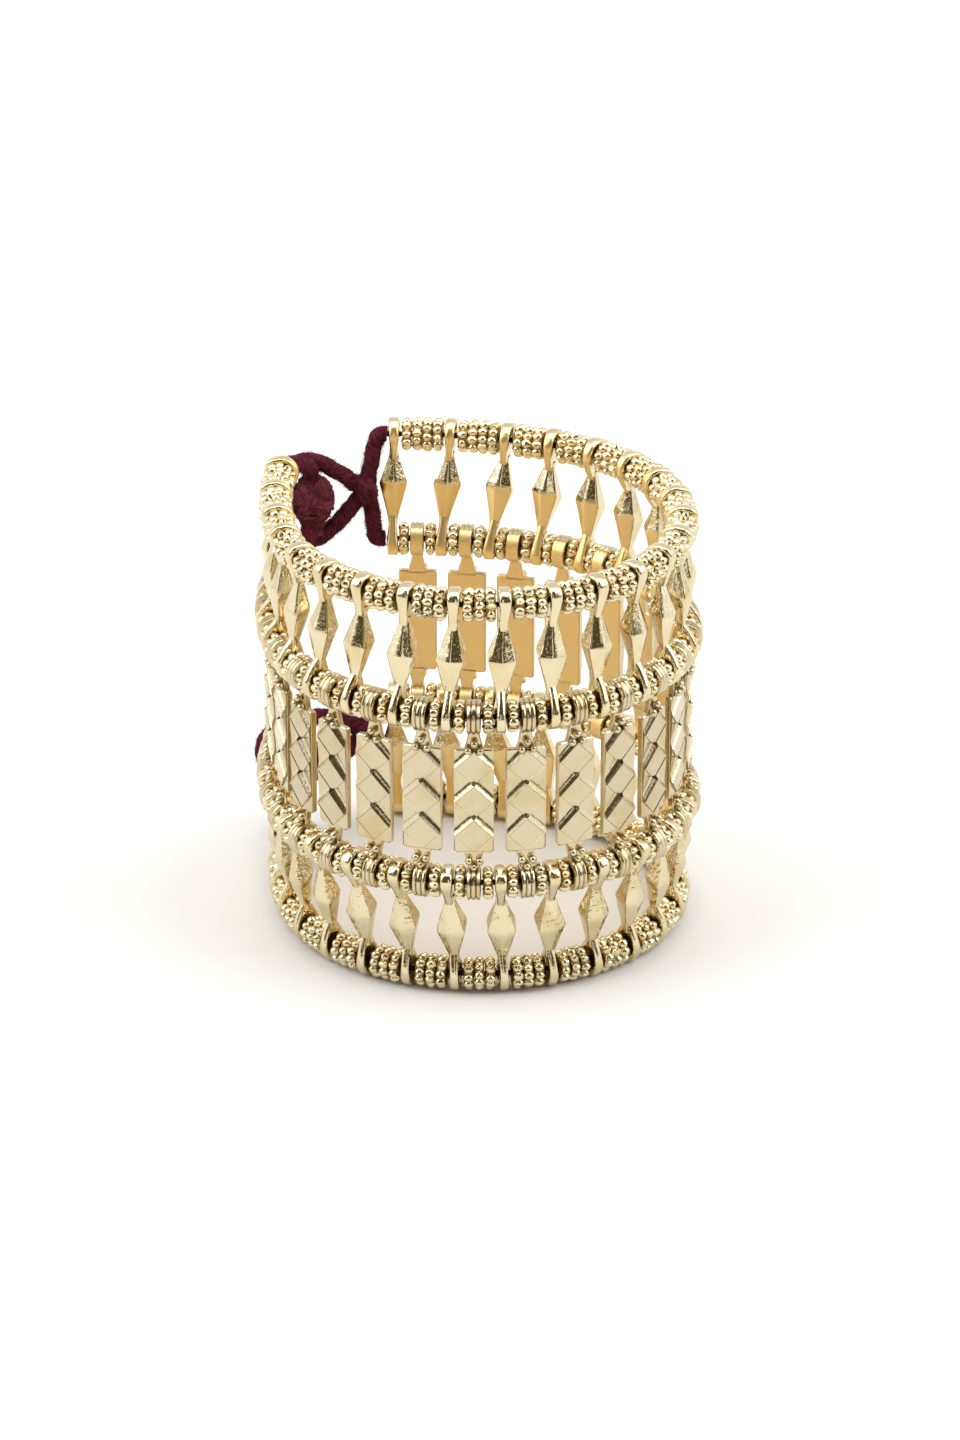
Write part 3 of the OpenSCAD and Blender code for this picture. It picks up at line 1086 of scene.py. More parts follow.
@dataclass(frozen=True)
class SpindleRow:
    """A row of faceted spindles, each with a loop at both ends.

    Attributes:
        node: the row's node in the part.
        upper: the thread above.
        lower: the thread below.
        layout: where the links sit.
        width: width across the flat sides.
        depth: depth from the front ridge to the back ridge.
        side_depth: depth of the flat sides.
        ridge_width: width of the ridge.
        neck_length: from an eyelet's centre to where the spindle starts to widen.
        neck_scale: size of the neck against the widest part.
        edge: how far each long edge is rounded off.
        inner_rise: how much higher the side that faces the wrist is widest.
        unevenness: how uneven the casting is on the upper half, the lower half and the necks.
        eyelet_radius: outer radius of a loop.
        shoulder: middle of the bend where a loop leans out most, outwards and up from the thread.
        shoulder_radius: radius of that bend.
        strap_neck_width: width of a loop's strap where it leaves the neck.
        strap_taper: how much narrower the strap is on the side that faces the wrist.
        strap_overlap: how far the strap runs on along the neck.
        strap_skin: how far it stands out of the neck.
        most_turn: how far a spindle may be turned, in degrees.
    """

    node: str
    upper: Thread
    lower: Thread
    layout: CuffLayout
    width: float = 4.1
    depth: float = 3.8
    side_depth: float = 2.3
    ridge_width: float = 0.56
    neck_length: float = 3.2
    neck_scale: float = 0.32
    edge: float = 0.24
    inner_rise: float = 1.0
    unevenness: tuple[float, float, float] = (0.09, 0.04, 0.02)
    eyelet_radius: float = 2.5
    shoulder: tuple[float, float] = (0.78, 0.72)
    shoulder_radius: float = 1.6
    strap_neck_width: float = 1.16
    strap_taper: float = 0.2
    strap_overlap: float = 0.55
    strap_skin: float = 0.1
    most_turn: float = 7.0

    def section(self) -> np.ndarray:
        """Draws the widest section, with rounded edges.

        Returns:
            Its points, with the depth along X and the width along Y.
        """
        quarter = [(self.depth / 2, self.ridge_width / 2), (self.side_depth / 2, self.width / 2)]
        corners = [*quarter, *[(-x, y) for x, y in reversed(quarter)]]
        corners = np.array([*corners, *[(-x, -y) for x, y in corners]])
        outline = []
        for k, corner in enumerate(corners):
            following = corners[(k + 1) % len(corners)]
            start = corner + unit(corners[k - 1] - corner) * self.edge
            end = corner + unit(following - corner) * self.edge
            outline.extend([start, (start + 2 * corner + end) / 4, end])
            # A wide flat is held flat by two more points
            if np.linalg.norm(following - corner) > 1.0:
                goal = following - unit(following - corner) * self.edge
                outline.extend([end + (goal - end) * part for part in (0.2, 0.8)])
        return np.array(outline)

    def stations(self, taper: float) -> list[tuple[float, float, float]]:
        """Gives the heights at which the spindle is lofted, with its size there.

        Args:
            taper: length from the middle to a neck.

        Returns:
            Height, width against the widest, and depth against the deepest.
        """
        slim = self.neck_scale
        # How softly the taper runs out into the neck
        softness = 0.05
        half = []
        for part in (0.035, 0.2, 0.45, 0.7, 0.86, 0.95):
            left = (1 - slim) * (1 - part)
            size = slim + (left + math.hypot(left, softness)) / 2
            half.append((part * taper, size, size))
        half.append((taper + 0.15, slim * 1.06, slim * 1.02))
        half.append((taper + 0.75, slim, slim * 1.06))
        return [(-height, wide, deep) for height, wide, deep in reversed(half)] + half

    def body(self, length: float, seed: float) -> Shape:
        """Makes a spindle's body between its loops, slightly uneven as the casting left it.

        Args:
            length: distance between the two threads.
            seed: what makes this spindle differ from the next.

        Returns:
            The body about its middle, with +X to the front.
        """
        section = self.section()
        taper = length / 2 - self.neck_length
        above, below, at_neck = self.unevenness
        rings = []
        for height, wide, deep in self.stations(taper):
            ring = np.column_stack([section * [deep, wide], np.full(len(section), height)])
            strength = at_neck if abs(height) > taper else above if height > 0 else below
            for point in ring:
                place = Vector(point) * 0.9 + Vector((seed * 7.3, seed * 3.1, 0))
                away = Vector((point[0], point[1], 0)).normalized()
                point += np.array(away * noise.noise(place) * strength)
                behind = min(max(-point[0] / (deep * self.side_depth / 2), 0.0), 1.0)
                point[2] += self.inner_rise * behind * max(1 - abs(height) / taper, 0.0)
            rings.append(ring)
        return Shape(np.vstack(rings), ring_faces(len(rings), len(section)))

    def loop(self, thread: Thread, lean: float) -> Shape:
        """Makes the loop at a spindle's end, a strap that runs on into the neck.

        Args:
            thread: the thread that it hangs on.
            lean: how far the spindle leans along the thread.

        Returns:
            The loop about the thread, which runs along Y, with the neck below it.
        """
        neck = self.neck_length + self.strap_overlap
        slim = self.neck_scale * self.depth / 2 + self.strap_skin
        # The strap rises from the neck, bends back over the shoulder, goes round the thread and
        # falls back to the neck on the side of the wrist
        round_shoulder = arc(self.shoulder, self.shoulder_radius, -20, 85, 12)
        front = np.array(round_shoulder + arc((0, 0), self.eyelet_radius, 80, 205, 17))
        root = np.array([slim, -neck])
        fallen = np.array([-slim, -neck]) - front[-1]
        rise = [root + (front[0] - root) * part for part in (0.0, 0.1, 0.3, 0.5, 0.7, 0.9)]
        fall = [front[-1] + fallen * [part, part**0.8] for part in (0.25, 0.5, 0.75, 1.0)]
        outline = [*rise, *front, *fall]
        full_width_at, edge_inset, lean_below = 0.8, 0.1, 0.5
        points = []
        for x, z in outline:
            reach = math.hypot(x, z)
            part = min(max((z + neck) / (neck + full_width_at), 0.0), 1.0)
            eased = part * part * (3 - 2 * part)
            half = (self.strap_neck_width + (thread.strap_width - self.strap_neck_width) * eased) / 2
            half *= 1 - self.strap_taper * max(-x / reach, 0.0)
            # Rounded edge of the strap: how far below its top, and how far from its side
            crown = [(0.5, 0.0), (0.22, 0.05), (0.07, 0.19), (0.02, 0.36), (0.0, half * 0.75)]
            rising = [(sunk, inset - half) for sunk, inset in crown]
            falling = [(sunk, -along) for sunk, along in reversed(rising)]
            bore = reach - BORE_RADIUS
            ends = [(bore, edge_inset - half)], [(bore, half - edge_inset)]
            for sunk, along in [*ends[0], *rising, (0.0, 0.0), *falling, *ends[1]]:
                height = z * (1 - sunk / reach)
                aside = lean * neck / (neck - lean_below) * min(height + lean_below, 0.0)
                points.append((x * (1 - sunk / reach), along + aside, height))
        sides = len(points) // len(outline)
        return Shape(np.array(points), ring_faces(len(outline), sides, closed=True))

    def build(self, gold: bpy.types.Material, loop_gold: bpy.types.Material) -> None:
        """Builds the row as one piece.

        Args:
            gold: finish of the spindles.
            loop_gold: finish of their loops.
        """
        piece = Piece(f"spindle_row_{self.node.split('_')[1]}")
        chance = np.random.default_rng(int(self.lower.height * 10))
        layout = self.layout
        for k in range(layout.spindles):
            above = layout.link_angle(self.upper.kind, k)
            below = layout.link_angle(self.lower.kind, k)
            matrix, length = layout.between((self.upper, above), (self.lower, below))
            turn = math.radians(chance.uniform(-self.most_turn, self.most_turn))
            turned = matrix.copy()
            turned[:3, 0] = math.cos(turn) * matrix[:3, 0] + math.sin(turn) * matrix[:3, 1]
            turned[:3, 1] = math.cos(turn) * matrix[:3, 1] - math.sin(turn) * matrix[:3, 0]
            piece.add(self.body(length, k + self.upper.height), matrix=turned)
            for thread, angle, end in ((self.upper, above, 1), (self.lower, below, -1)):
                place = layout.place(thread, angle)
                along = place[:3, 1]
                upwards = matrix[:3, 2] * end
                lean = float(np.dot(upwards, along))
                place[:3, 2] = unit(upwards - lean * along)
                place[:3, 0] = np.cross(along, place[:3, 2])
                piece.add(self.loop(thread, lean), matrix=place, finish=1)
        piece.hand_in([gold, loop_gold], FinishSlot.CAST_GOLD, self.node)


@dataclass(frozen=True)
class TileLink:
    """One rectangular tile with three raised diamonds, between the two middle threads.

    Attributes:
        number: its place in the row, from 0.
        layout: where the links sit.
        width: width of the plate.
        height: height of the plate.
        thickness: thickness of the plate.
        corner: radius of the plate's corners.
        edge: width of the bevel round the plate.
        diamond: diagonal of a diamond.
        diamond_step: distance between diamonds.
        diamond_lift: height of a diamond's top corner above the plate.
        diamond_foot: height of its bottom corner.
        hollow_width: width of the hollow along a diamond's upper edge.
        ring_radius: outer radius of the ring at each end.
        berry_radius: radius of the neck's granules.
        berry_out: how far their middles stand in front of the plate.
        upper_berries: places of the upper ones: sideways, and beyond the plate's edge.
        lower_berries: places of the lower ones.
    """

    number: int
    layout: CuffLayout
    width: float = 5.6
    height: float = 15.8
    thickness: float = 1.0
    corner: float = 0.45
    edge: float = 0.16
    diamond: float = 5.45
    diamond_step: float = 5.2
    diamond_lift: float = 0.75
    diamond_foot: float = 0.06
    hollow_width: float = 0.95
    ring_radius: float = 2.5
    berry_radius: float = 0.56
    berry_out: float = 0.45
    upper_berries: tuple[tuple[float, float], ...] = ((-0.84, 0.1), (0.84, 0.1), (0.0, 1.2))
    lower_berries: tuple[tuple[float, float], ...] = ((-0.76, 1.15), (0.76, 1.15), (0.0, 2.2))

    def plate(self) -> Shape:
        """Makes the plate, with rounded corners and a bevel round both faces.

        Returns:
            The plate about its middle, with +X to the front.
        """
        half = self.thickness / 2
        edge = self.edge
        levels = [(half, edge), (half - edge, 0.0), (edge - half, 0.0), (-half, edge)]
        points = []
        for depth, inset in levels:
            radius = self.corner - inset * 0.5
            for side_y, side_z, start in ((1, 1, 0), (-1, 1, 90), (-1, -1, 180), (1, -1, 270)):
                middle_y = side_y * (self.width / 2 - inset - radius)
                middle_z = side_z * (self.height / 2 - inset - radius)
                bend = arc((middle_y, middle_z), radius, start, start + 90, 4)
                points.extend((depth, y, z) for y, z in bend)
        count = len(points) // len(levels)
        faces = [tuple(reversed(face)) for face in ring_faces(len(levels), count)]
        faces.append(tuple(range(count)))
        faces.append(tuple(range(len(points) - 1, len(points) - count - 1, -1)))
        return Shape(np.array(points), faces)

    def rise(self, height: float) -> float:
        """Gives how far a diamond stands out of the plate at a height above its middle."""
        part = (height + self.diamond / 2) / self.diamond
        return self.diamond_foot + (self.diamond_lift - self.diamond_foot) * part

    def shingle(self, middle: float) -> list[Shape]:
        """Makes a diamond that rises from its bottom corner, with a fine raised edge.

        Args:
            middle: height of its middle on the plate.

        Returns:
            The edge and the flat face.
        """
        half = self.diamond / 2
        root = math.sqrt(2)
        front = self.thickness / 2
        sunk = -0.02
        # Each step: how far in from the upper edges and from the lower ones, and how far out
        steps = [
            (0.0, 0.0, -1.0),
            (0.0, 0.0, 0.0),
            (0.05, 0.02, 0.05),
            (0.14, 0.05, 0.05),
            (0.22, 0.09, -0.03),
            (0.22, 0.09, -0.03),
        ]
        points = []
        for step, foot, out in steps:
            top = half - step * root
            low = half - foot * root
            side_y = half - (step + foot) / root
            side_z = (foot - step) / root
            for y, z in ((0, top), (-side_y, side_z), (0, -low), (side_y, side_z)):
                points.append((front + max(self.rise(z) + out, sunk), y, z + middle))
        rings = np.array(points)
        count = 4 * (len(steps) - 1)
        raised = Shape(rings[:count], ring_faces(len(steps) - 1, 4))
        return [raised, Shape(rings[count:], [(0, 1, 2, 3)])]

    def hollow(self, middle: float, side: int) -> list[Shape]:
        """Makes the hollow beside a diamond, which sinks down to the diamond's upper edge.

        Args:
            middle: height of the diamond's middle on the plate.
            side: 1 for the right of it, -1 for the left.

        Returns:
            The hollow, and the plate's side where it is thicker there.
        """
        half = self.diamond / 2
        front = self.thickness / 2
        rim = self.width / 2 - 0.04
        floor = front + 0.01
        slope = self.hollow_width * math.sqrt(2)
        is_top = middle > self.diamond_step / 2
        # It ends at the plate's top edge, or at the next diamond
        limit = self.height / 2 - middle - 0.12 if is_top else self.diamond_step - half
        rows = []
        for part in np.linspace(1.0, 0.0, 7):
            reach = half + part * slope
            inner = max(reach - limit if is_top else (reach - limit) / 2, 0.0)
            left = (1 - part) ** 2
            inner_point = (floor + self.rise(limit) * left, inner, reach - inner)
            rows.append([inner_point, (floor + self.rise(half - rim) * left, rim, reach - rim)])
        corner = (front, rim, limit) if is_top else (front + self.rise(0) - 0.08, rim, limit + rim)
        rows.insert(0, [rows[0][0], corner])
        points = np.array([point for row in rows for point in row])
        sunk = points[1::2] * [0.0, 1.0, 1.0] + [front - 0.1, 0.0, 0.0]
        wall = np.vstack([points[1::2], sunk])
        count = len(rows)
        faces = [(2 * k, 2 * k + 2, 2 * k + 3, 2 * k + 1) for k in range(1, count - 1)]
        faces.append((0, 3, 1))
        sides = [(k, k + 1, count + k + 1, count + k) for k in range(count - 1)]
        shapes = []
        for made, its_faces in ((points, faces), (wall, sides)):
            turned = its_faces if side > 0 else [tuple(reversed(face)) for face in its_faces]
            shapes.append(Shape(made * [1, side, 1] + [0, 0, middle], turned))
        return shapes

    def neck(self, length: float, end: int) -> list[Shape]:
        """Makes the flared neck at one end of the plate, with three granules on it.

        Args:
            length: distance between the two threads.
            end: 1 for the upper end, -1 for the lower one.

        Returns:
            The neck and its granules.
        """
        root = self.height / 2 - 0.4
        reach = length / 2 - self.ring_radius + 0.6
        front = self.thickness / 2 - 0.1
        back = -0.5
        half_width, flare, bevel, bevel_depth = 0.75, 0.75, 0.1, 0.12
        outline = []
        for part in np.linspace(0, 1, 7):
            outline.append((half_width + flare * (1 - part) ** 1.6, root + (reach - root) * part))
        outline = [*outline, *[(-y, z) for y, z in reversed(outline)]]
        levels = [(front, bevel), (front - bevel_depth, 0.0), (back + bevel_depth, 0.0), (back, bevel)]
        rows = []
        for depth, inset in levels:
            rows.extend((depth, y - math.copysign(inset, y), end * z) for y, z in outline)
        count = len(outline)
        faces = ring_faces(len(levels), count)
        faces.append(tuple(range(count - 1, -1, -1)))
        faces.append(tuple(range(3 * count, 4 * count)))
        if end > 0:
            faces = [tuple(reversed(face)) for face in faces]
        chance = np.random.default_rng(200 + self.number * 2 + end)
        shapes = [Shape(np.array(rows), faces)]
        for across, up in self.upper_berries if end > 0 else self.lower_berries:
            ball = granule_shape(tuple(self.berry_radius * chance.uniform(0.94, 1.08, 3)))
            place = [self.thickness / 2 + self.berry_out, across, end * (self.height / 2 + up)]
            matrix = np.eye(4)
            matrix[:3, 3] = place
            matrix[1:3, 3] += chance.uniform(-0.1, 0.1, 2)
            shapes.append(ball.placed(matrix))
        return shapes

    def double_ring(self) -> Shape:
        """Makes the ring at the end of a neck, with three ridges that fade towards the wrist.

        Returns:
            The ring about the thread, which runs along Y.
        """
        half = RING_WIDTH / 2
        outer = self.ring_radius
        plain_depth = 0.06
        # Half of the outline, from one side to the middle: radius, and place along the thread
        crown = [
            (outer - 0.32, -half),
            (outer - 0.08, -half + 0.1),
            (outer, -half + 0.3),
            (outer - plain_depth, -0.48),
            (outer - 0.3, -0.36),
            (outer - plain_depth, -0.24),
        ]
        rising = [(radius, -along) for radius, along in reversed(crown)]
        profile = [(BORE_RADIUS, -half), *crown, (outer, 0.0), *rising, (BORE_RADIUS, half)]
        ring = turned_ring(profile, 36)
        for point in ring.points:
            reach = math.hypot(point[0], point[2])
            plain = min(max(-point[0] / reach * 2.2, 0.0), 1.0)
            if reach > 1.0 and abs(point[1]) < half - 0.05:
                point[::2] *= 1 + plain * ((outer - plain_depth) / reach - 1)
        return ring

    def build(self, gold: bpy.types.Material) -> None:
        """Builds the tile as one piece.

        Args:
            gold: its finish.
        """
        layout = self.layout
        angle = layout.link_angle(ThreadKind.MIDDLE, self.number + 0.5)
        matrix, length = layout.between((UPPER, angle), (LOWER, angle))
        piece = Piece(f"tile_link_{self.number + 1:02d}")
        for thread in (UPPER, LOWER):
            piece.add(self.double_ring(), matrix=layout.place(thread, angle))
        piece.add(self.plate(), matrix=matrix)
        for row in (-1, 0, 1):
            middle = row * self.diamond_step
            hollows = [*self.hollow(middle, 1), *self.hollow(middle, -1)]
            piece.add(*self.shingle(middle), *hollows, matrix=matrix)
        for end in (1, -1):
            piece.add(*self.neck(length, end), matrix=matrix)
        piece.hand_in([gold], FinishSlot.CAST_GOLD, f"tile_{self.number + 1:02d}")


@dataclass(frozen=True)
class StringingThread:
    """The twisted thread that a line of eyelets and beads hangs on.

    Attributes:
        thread: which thread it is.
        layout: where the links sit.
        radius: radius of the thread.
        twist: length of one full twist.
        end_length: how far it runs past the last eyelets.
    """

    thread: Thread
    layout: CuffLayout
    radius: float = 0.42
    twist: float = 2.4
    end_length: float = 0.06

    def build(self, cotton: bpy.types.Material) -> None:
        """Builds the thread as one piece.

        Args:
            cotton: its finish.
        """
        past = self.thread.eyelet_width / 2 + self.end_length
        end = self.layout.chain_half + math.degrees(past / self.thread.radius)
        knots = [self.layout.point(self.thread, angle) for angle in np.linspace(-end, end, 61)]
        piece = Piece(f"stringing_thread_{self.thread.name}")
        piece.add(*plied_yarns(smooth_path(knots, 0.35), self.radius, self.twist, 2, 6))
        piece.hand_in([cotton], FinishSlot.THREAD, f"thread_{self.thread.name}")


# Closures


Route = list[tuple[float, float, float]]


@dataclass(frozen=True)
class Closure:
    """One closure: a knotted loop from the right end over a wound button from the left end.

    Routes are places over the gap: across from the left end to the right one, down from the
    upper thread to the lower one, and outwards in millimetres.

    Attributes:
        name: upper or lower.
        upper: the thread above.
        lower: the thread below.
        layout: where the links sit.
        upper_leg: route from the upper eyelet to the knot.
        lower_leg: route from the lower eyelet to the knot.
        loop: route of the loop over the button.
        button_cord: route of the cord that carries the button.
        knot: place of the knot.
        button: place of the button.
        cord_radius: radius of the soft loop cord.
        twist: length of one full twist of it.
        button_cord_radius: radius of the button's cord.
        button_cord_twist: length of one full twist of it.
        knot_turns: turns of the cord in the knot.
        knot_radii: radii of those turns.
        knot_half: half of the knot's length.
        knot_cord_radius: radius of the cord where the knot squeezes it.
        knot_twist: length of one full twist of it there.
        button_radius: radius of the button.
        squeeze: how far the button departs from a ball along X, Y and Z.
        strand: radius of the button's windings.
        bands: direction and tilt of each band of windings, in radians.
        band_windings: windings in a band.
        band_spread: how far a winding may swing out of its band, in radians.
        winding_step: how much more one winding tilts than the one before it, in radians.
        winding_depth: how much deeper than the top a winding may lie.
        core_inset: how far the ball under the windings lies below their top.
        cone_strand: radius of the windings below the button.
        cone_turns: how many of them there are.
        cone_top: radius of the cone where it starts, against the button's.
        cone_radius: radius of the cone where it ends.
        cone_reach: how far below the button's middle it starts and ends, against its radius.
        loop_fibres: loose fibres for each place on a route of the loop.
        cord_fibres: the same on the button's cord.
        knot_fibres: loose fibres on the knot.
        winding_fibres: loose fibres on each winding.
        cone_fibres: loose fibres on the cone.
    """

    name: str
    upper: Thread
    lower: Thread
    layout: CuffLayout
    upper_leg: Route
    lower_leg: Route
    loop: Route
    button_cord: Route
    knot: tuple[float, float, float]
    button: tuple[float, float, float]
    cord_radius: float = 1.2
    twist: float = 9.0
    button_cord_radius: float = 1.25
    button_cord_twist: float = 4.2
    knot_turns: float = 2.3
    knot_radii: tuple[float, float] = (1.15, 1.35)
    knot_half: float = 1.1
    knot_cord_radius: float = 1.05
    knot_twist: float = 4.0
    button_radius: float = 3.4
    squeeze: tuple[float, float, float] = (0.96, 0.96, 1.14)
    strand: float = 0.34
    bands: tuple[tuple[float, float], ...] = ((0.2, 0.5), (1.3, 0.9), (2.3, 0.35), (2.9, 1.2))
    band_windings: int = 11
    band_spread: float = 0.32
    winding_step: float = 0.1
    winding_depth: float = 0.4
    core_inset: float = 0.35
    cone_strand: float = 0.3
    cone_turns: int = 9
    cone_top: float = 0.84
    cone_radius: float = 1.2
    cone_reach: tuple[float, float] = (0.5, 1.6)
    loop_fibres: int = 21
    cord_fibres: int = 20
    knot_fibres: int = 900
    winding_fibres: int = 14
    cone_fibres: int = 500

    def over_gap(self, place: tuple[float, float, float]) -> np.ndarray:
        """Gives the point of a place over the gap.

        Args:
            place: across, down and outwards, as in a route.

        Returns:
            The point in millimetres.
        """
        across, down, out = place
        half = self.layout.chain_half
        ends = []
        for side in (-half, half):
            top = self.layout.point(self.upper, side)
            ends.append(top + (self.layout.point(self.lower, side) - top) * down)
        facing = math.radians(self.layout.chain_turn + 180)
        outwards = np.array([math.cos(facing), math.sin(facing), 0.0])
        return ends[0] + (ends[1] - ends[0]) * across + out * outwards

    def path(self, route: Route) -> np.ndarray:
        """Lays a route over the gap as a smooth path."""
        return smooth_path([self.over_gap(place) for place in route], 0.3)

    def loop_cord(self, cotton: bpy.types.Material) -> None:
        """Builds the loop with its two legs and its knot.

        Args:
            cotton: its finish.
        """
        piece = Piece(f"loop_{self.name}")
        for number, route in enumerate((self.upper_leg, self.lower_leg, self.loop)):
            path = self.path(route)
            piece.add(*plied_yarns(path, self.cord_radius, self.twist, 3, 10))
            count = len(path) * self.loop_fibres
            piece.add(*loose_fibres(path, self.cord_radius, count, 40 + number))
        along = self.over_gap(self.loop[0]) - self.over_gap(self.upper_leg[-1])
        wraps = frame_at(self.over_gap(self.knot), along, UP)
        turns = np.linspace(0, 2 * math.pi * self.knot_turns, 60)
        wide, high = self.knot_radii
        runs = np.linspace(-self.knot_half, self.knot_half, len(turns))
        coil = np.column_stack([wide * np.cos(turns), high * np.sin(turns), runs])
        path = coil @ wraps[:3, :3].T + wraps[:3, 3]
        piece.add(*plied_yarns(path, self.knot_cord_radius, self.knot_twist, 3, 10))
        piece.add(*loose_fibres(path, self.knot_cord_radius, self.knot_fibres, 50))
        piece.hand_in([cotton], FinishSlot.COTTON_CORD, f"loop_cord_{self.name}")

    def carrying_cord(self, cotton: bpy.types.Material) -> None:
        """Builds the cord that the button is threaded on.

        Args:
            cotton: its finish.
        """
        piece = Piece(f"carrying_cord_{self.name}")
        path = self.path(self.button_cord)
        piece.add(*plied_yarns(path, self.button_cord_radius, self.button_cord_twist, 3, 8))
        count = len(path) * self.cord_fibres
        piece.add(*loose_fibres(path, self.button_cord_radius, count, 61))
        piece.hand_in([cotton], FinishSlot.COTTON_CORD, f"button_cord_{self.name}")

    def wound_button(self, cotton: bpy.types.Material) -> None:
        """Builds the button: a ball of cord wound in crossing bands, with a fringe of fibres.

        Args:
            cotton: its finish.
        """
        piece = Piece(f"wound_ball_{self.name}")
        centre = self.over_gap(self.button)
        chance = np.random.default_rng(71)
        strand = self.strand
        turns = np.linspace(0, 2 * math.pi, 49)
        for band, tilt in self.bands:
            for winding in range(self.band_windings):
                swing = band + chance.uniform(-self.band_spread, self.band_spread)
                dip = tilt + (winding - self.band_windings // 2) * self.winding_step
                level = math.sin(dip)
                axis = np.array([math.cos(swing) * level, math.sin(swing) * level, math.cos(dip)])
                across = unit(np.cross(axis, [0.3, 0.9, 0.2]))
                beside = np.cross(axis, across)
                reach = self.button_radius - strand - chance.uniform(0.0, self.winding_depth)
                circle = np.outer(np.cos(turns), across) + np.outer(np.sin(turns), beside)
                line = centre + reach * np.array(self.squeeze) * circle
                fibres = loose_fibres(line, strand, self.winding_fibres, 80 + winding)
                piece.add(yarn_along(line, strand, 6), *fibres)
        # The windings run on down the cord, in a cone
        rounds = np.linspace(0, 2 * math.pi * self.cone_turns, 220)
        narrowing = np.linspace(1, 0, len(rounds)) ** 1.9
        top = self.cone_top * self.button_radius
        reach = self.cone_radius + (top - self.cone_radius) * narrowing
        reach += 0.1 * np.sin(rounds * 1.7)
        drop = np.linspace(*self.cone_reach, len(rounds)) * self.button_radius
        cone = centre + np.column_stack([reach * np.cos(rounds), reach * np.sin(rounds), -drop])
        piece.add(yarn_along(cone, self.cone_strand, 6))
        piece.add(*loose_fibres(cone, self.cone_strand, self.cone_fibres, 79))
        # The ball that the thread is wound on fills the gaps between the windings
        placed = np.diag([*self.squeeze, 1.0])
        placed[:3, 3] = centre
        core = self.button_radius - self.core_inset
        piece.add(granule_shape((core, core, core), 24, 16), matrix=placed)
        piece.hand_in([cotton], FinishSlot.WOUND_BUTTON, f"button_{self.name}")

    def build(self, cord: bpy.types.Material, winding: bpy.types.Material) -> None:
        """Builds the whole closure.

        Args:
            cord: finish of both cords.
            winding: finish of the button.
        """
        self.loop_cord(cord)
        self.carrying_cord(cord)
        self.wound_button(winding)


def upper_closure(layout: CuffLayout) -> Closure:
    """Gives the closure between the first two threads.

    Args:
        layout: where the links sit.

    Returns:
        The closure with its routes.
    """
    return Closure(
        name="upper",
        upper=TOP,
        lower=UPPER,
        layout=layout,
        upper_leg=[
            (0.96, 0, 0.7), (0.935, 0, 1.15), (0.905, 0.03, 1.4), (0.89, 0.1, 1.5),
            (0.87, 0.2, 1.6), (0.85, 0.34, 1.7), (0.83, 0.46, 1.9),
        ],
        lower_leg=[
            (0.96, 1, 0.7), (0.935, 1, 1.15), (0.905, 0.97, 1.4), (0.89, 0.88, 1.5),
            (0.88, 0.76, 1.5), (0.86, 0.62, 1.7), (0.83, 0.54, 1.9),
        ],
        loop=[
            (0.8, 0.46, 2.1), (0.73, 0.4, 2.6), (0.65, 0.31, 3.2), (0.57, 0.23, 4.2),
            (0.48, 0.17, 5.2), (0.38, 0.16, 6), (0.3, 0.22, 6.4), (0.25, 0.34, 6.5),
            (0.23, 0.5, 6.5), (0.25, 0.68, 6.5), (0.3, 0.83, 6.4), (0.39, 0.92, 6),
            (0.49, 0.93, 5.2), (0.58, 0.87, 4.2), (0.66, 0.76, 3.2), (0.73, 0.65, 2.6),
            (0.8, 0.56, 2.1),
        ],
        button_cord=[
            (0.04, 0, 0.7), (0.065, 0, 1.15), (0.15, 0.02, 1.9), (0.25, 0.06, 2.6),
            (0.35, 0.13, 3.2), (0.41, 0.22, 3.8), (0.42, 0.3, 3.9), (0.42, 0.7, 3.9),
            (0.41, 0.78, 3.8), (0.35, 0.87, 3.2), (0.25, 0.94, 2.6), (0.15, 0.98, 1.9),
            (0.065, 1, 1.15), (0.04, 1, 0.7),
        ],
        knot=(0.82, 0.5, 1.9),
        button=(0.46, 0.5, 4.4),
    )


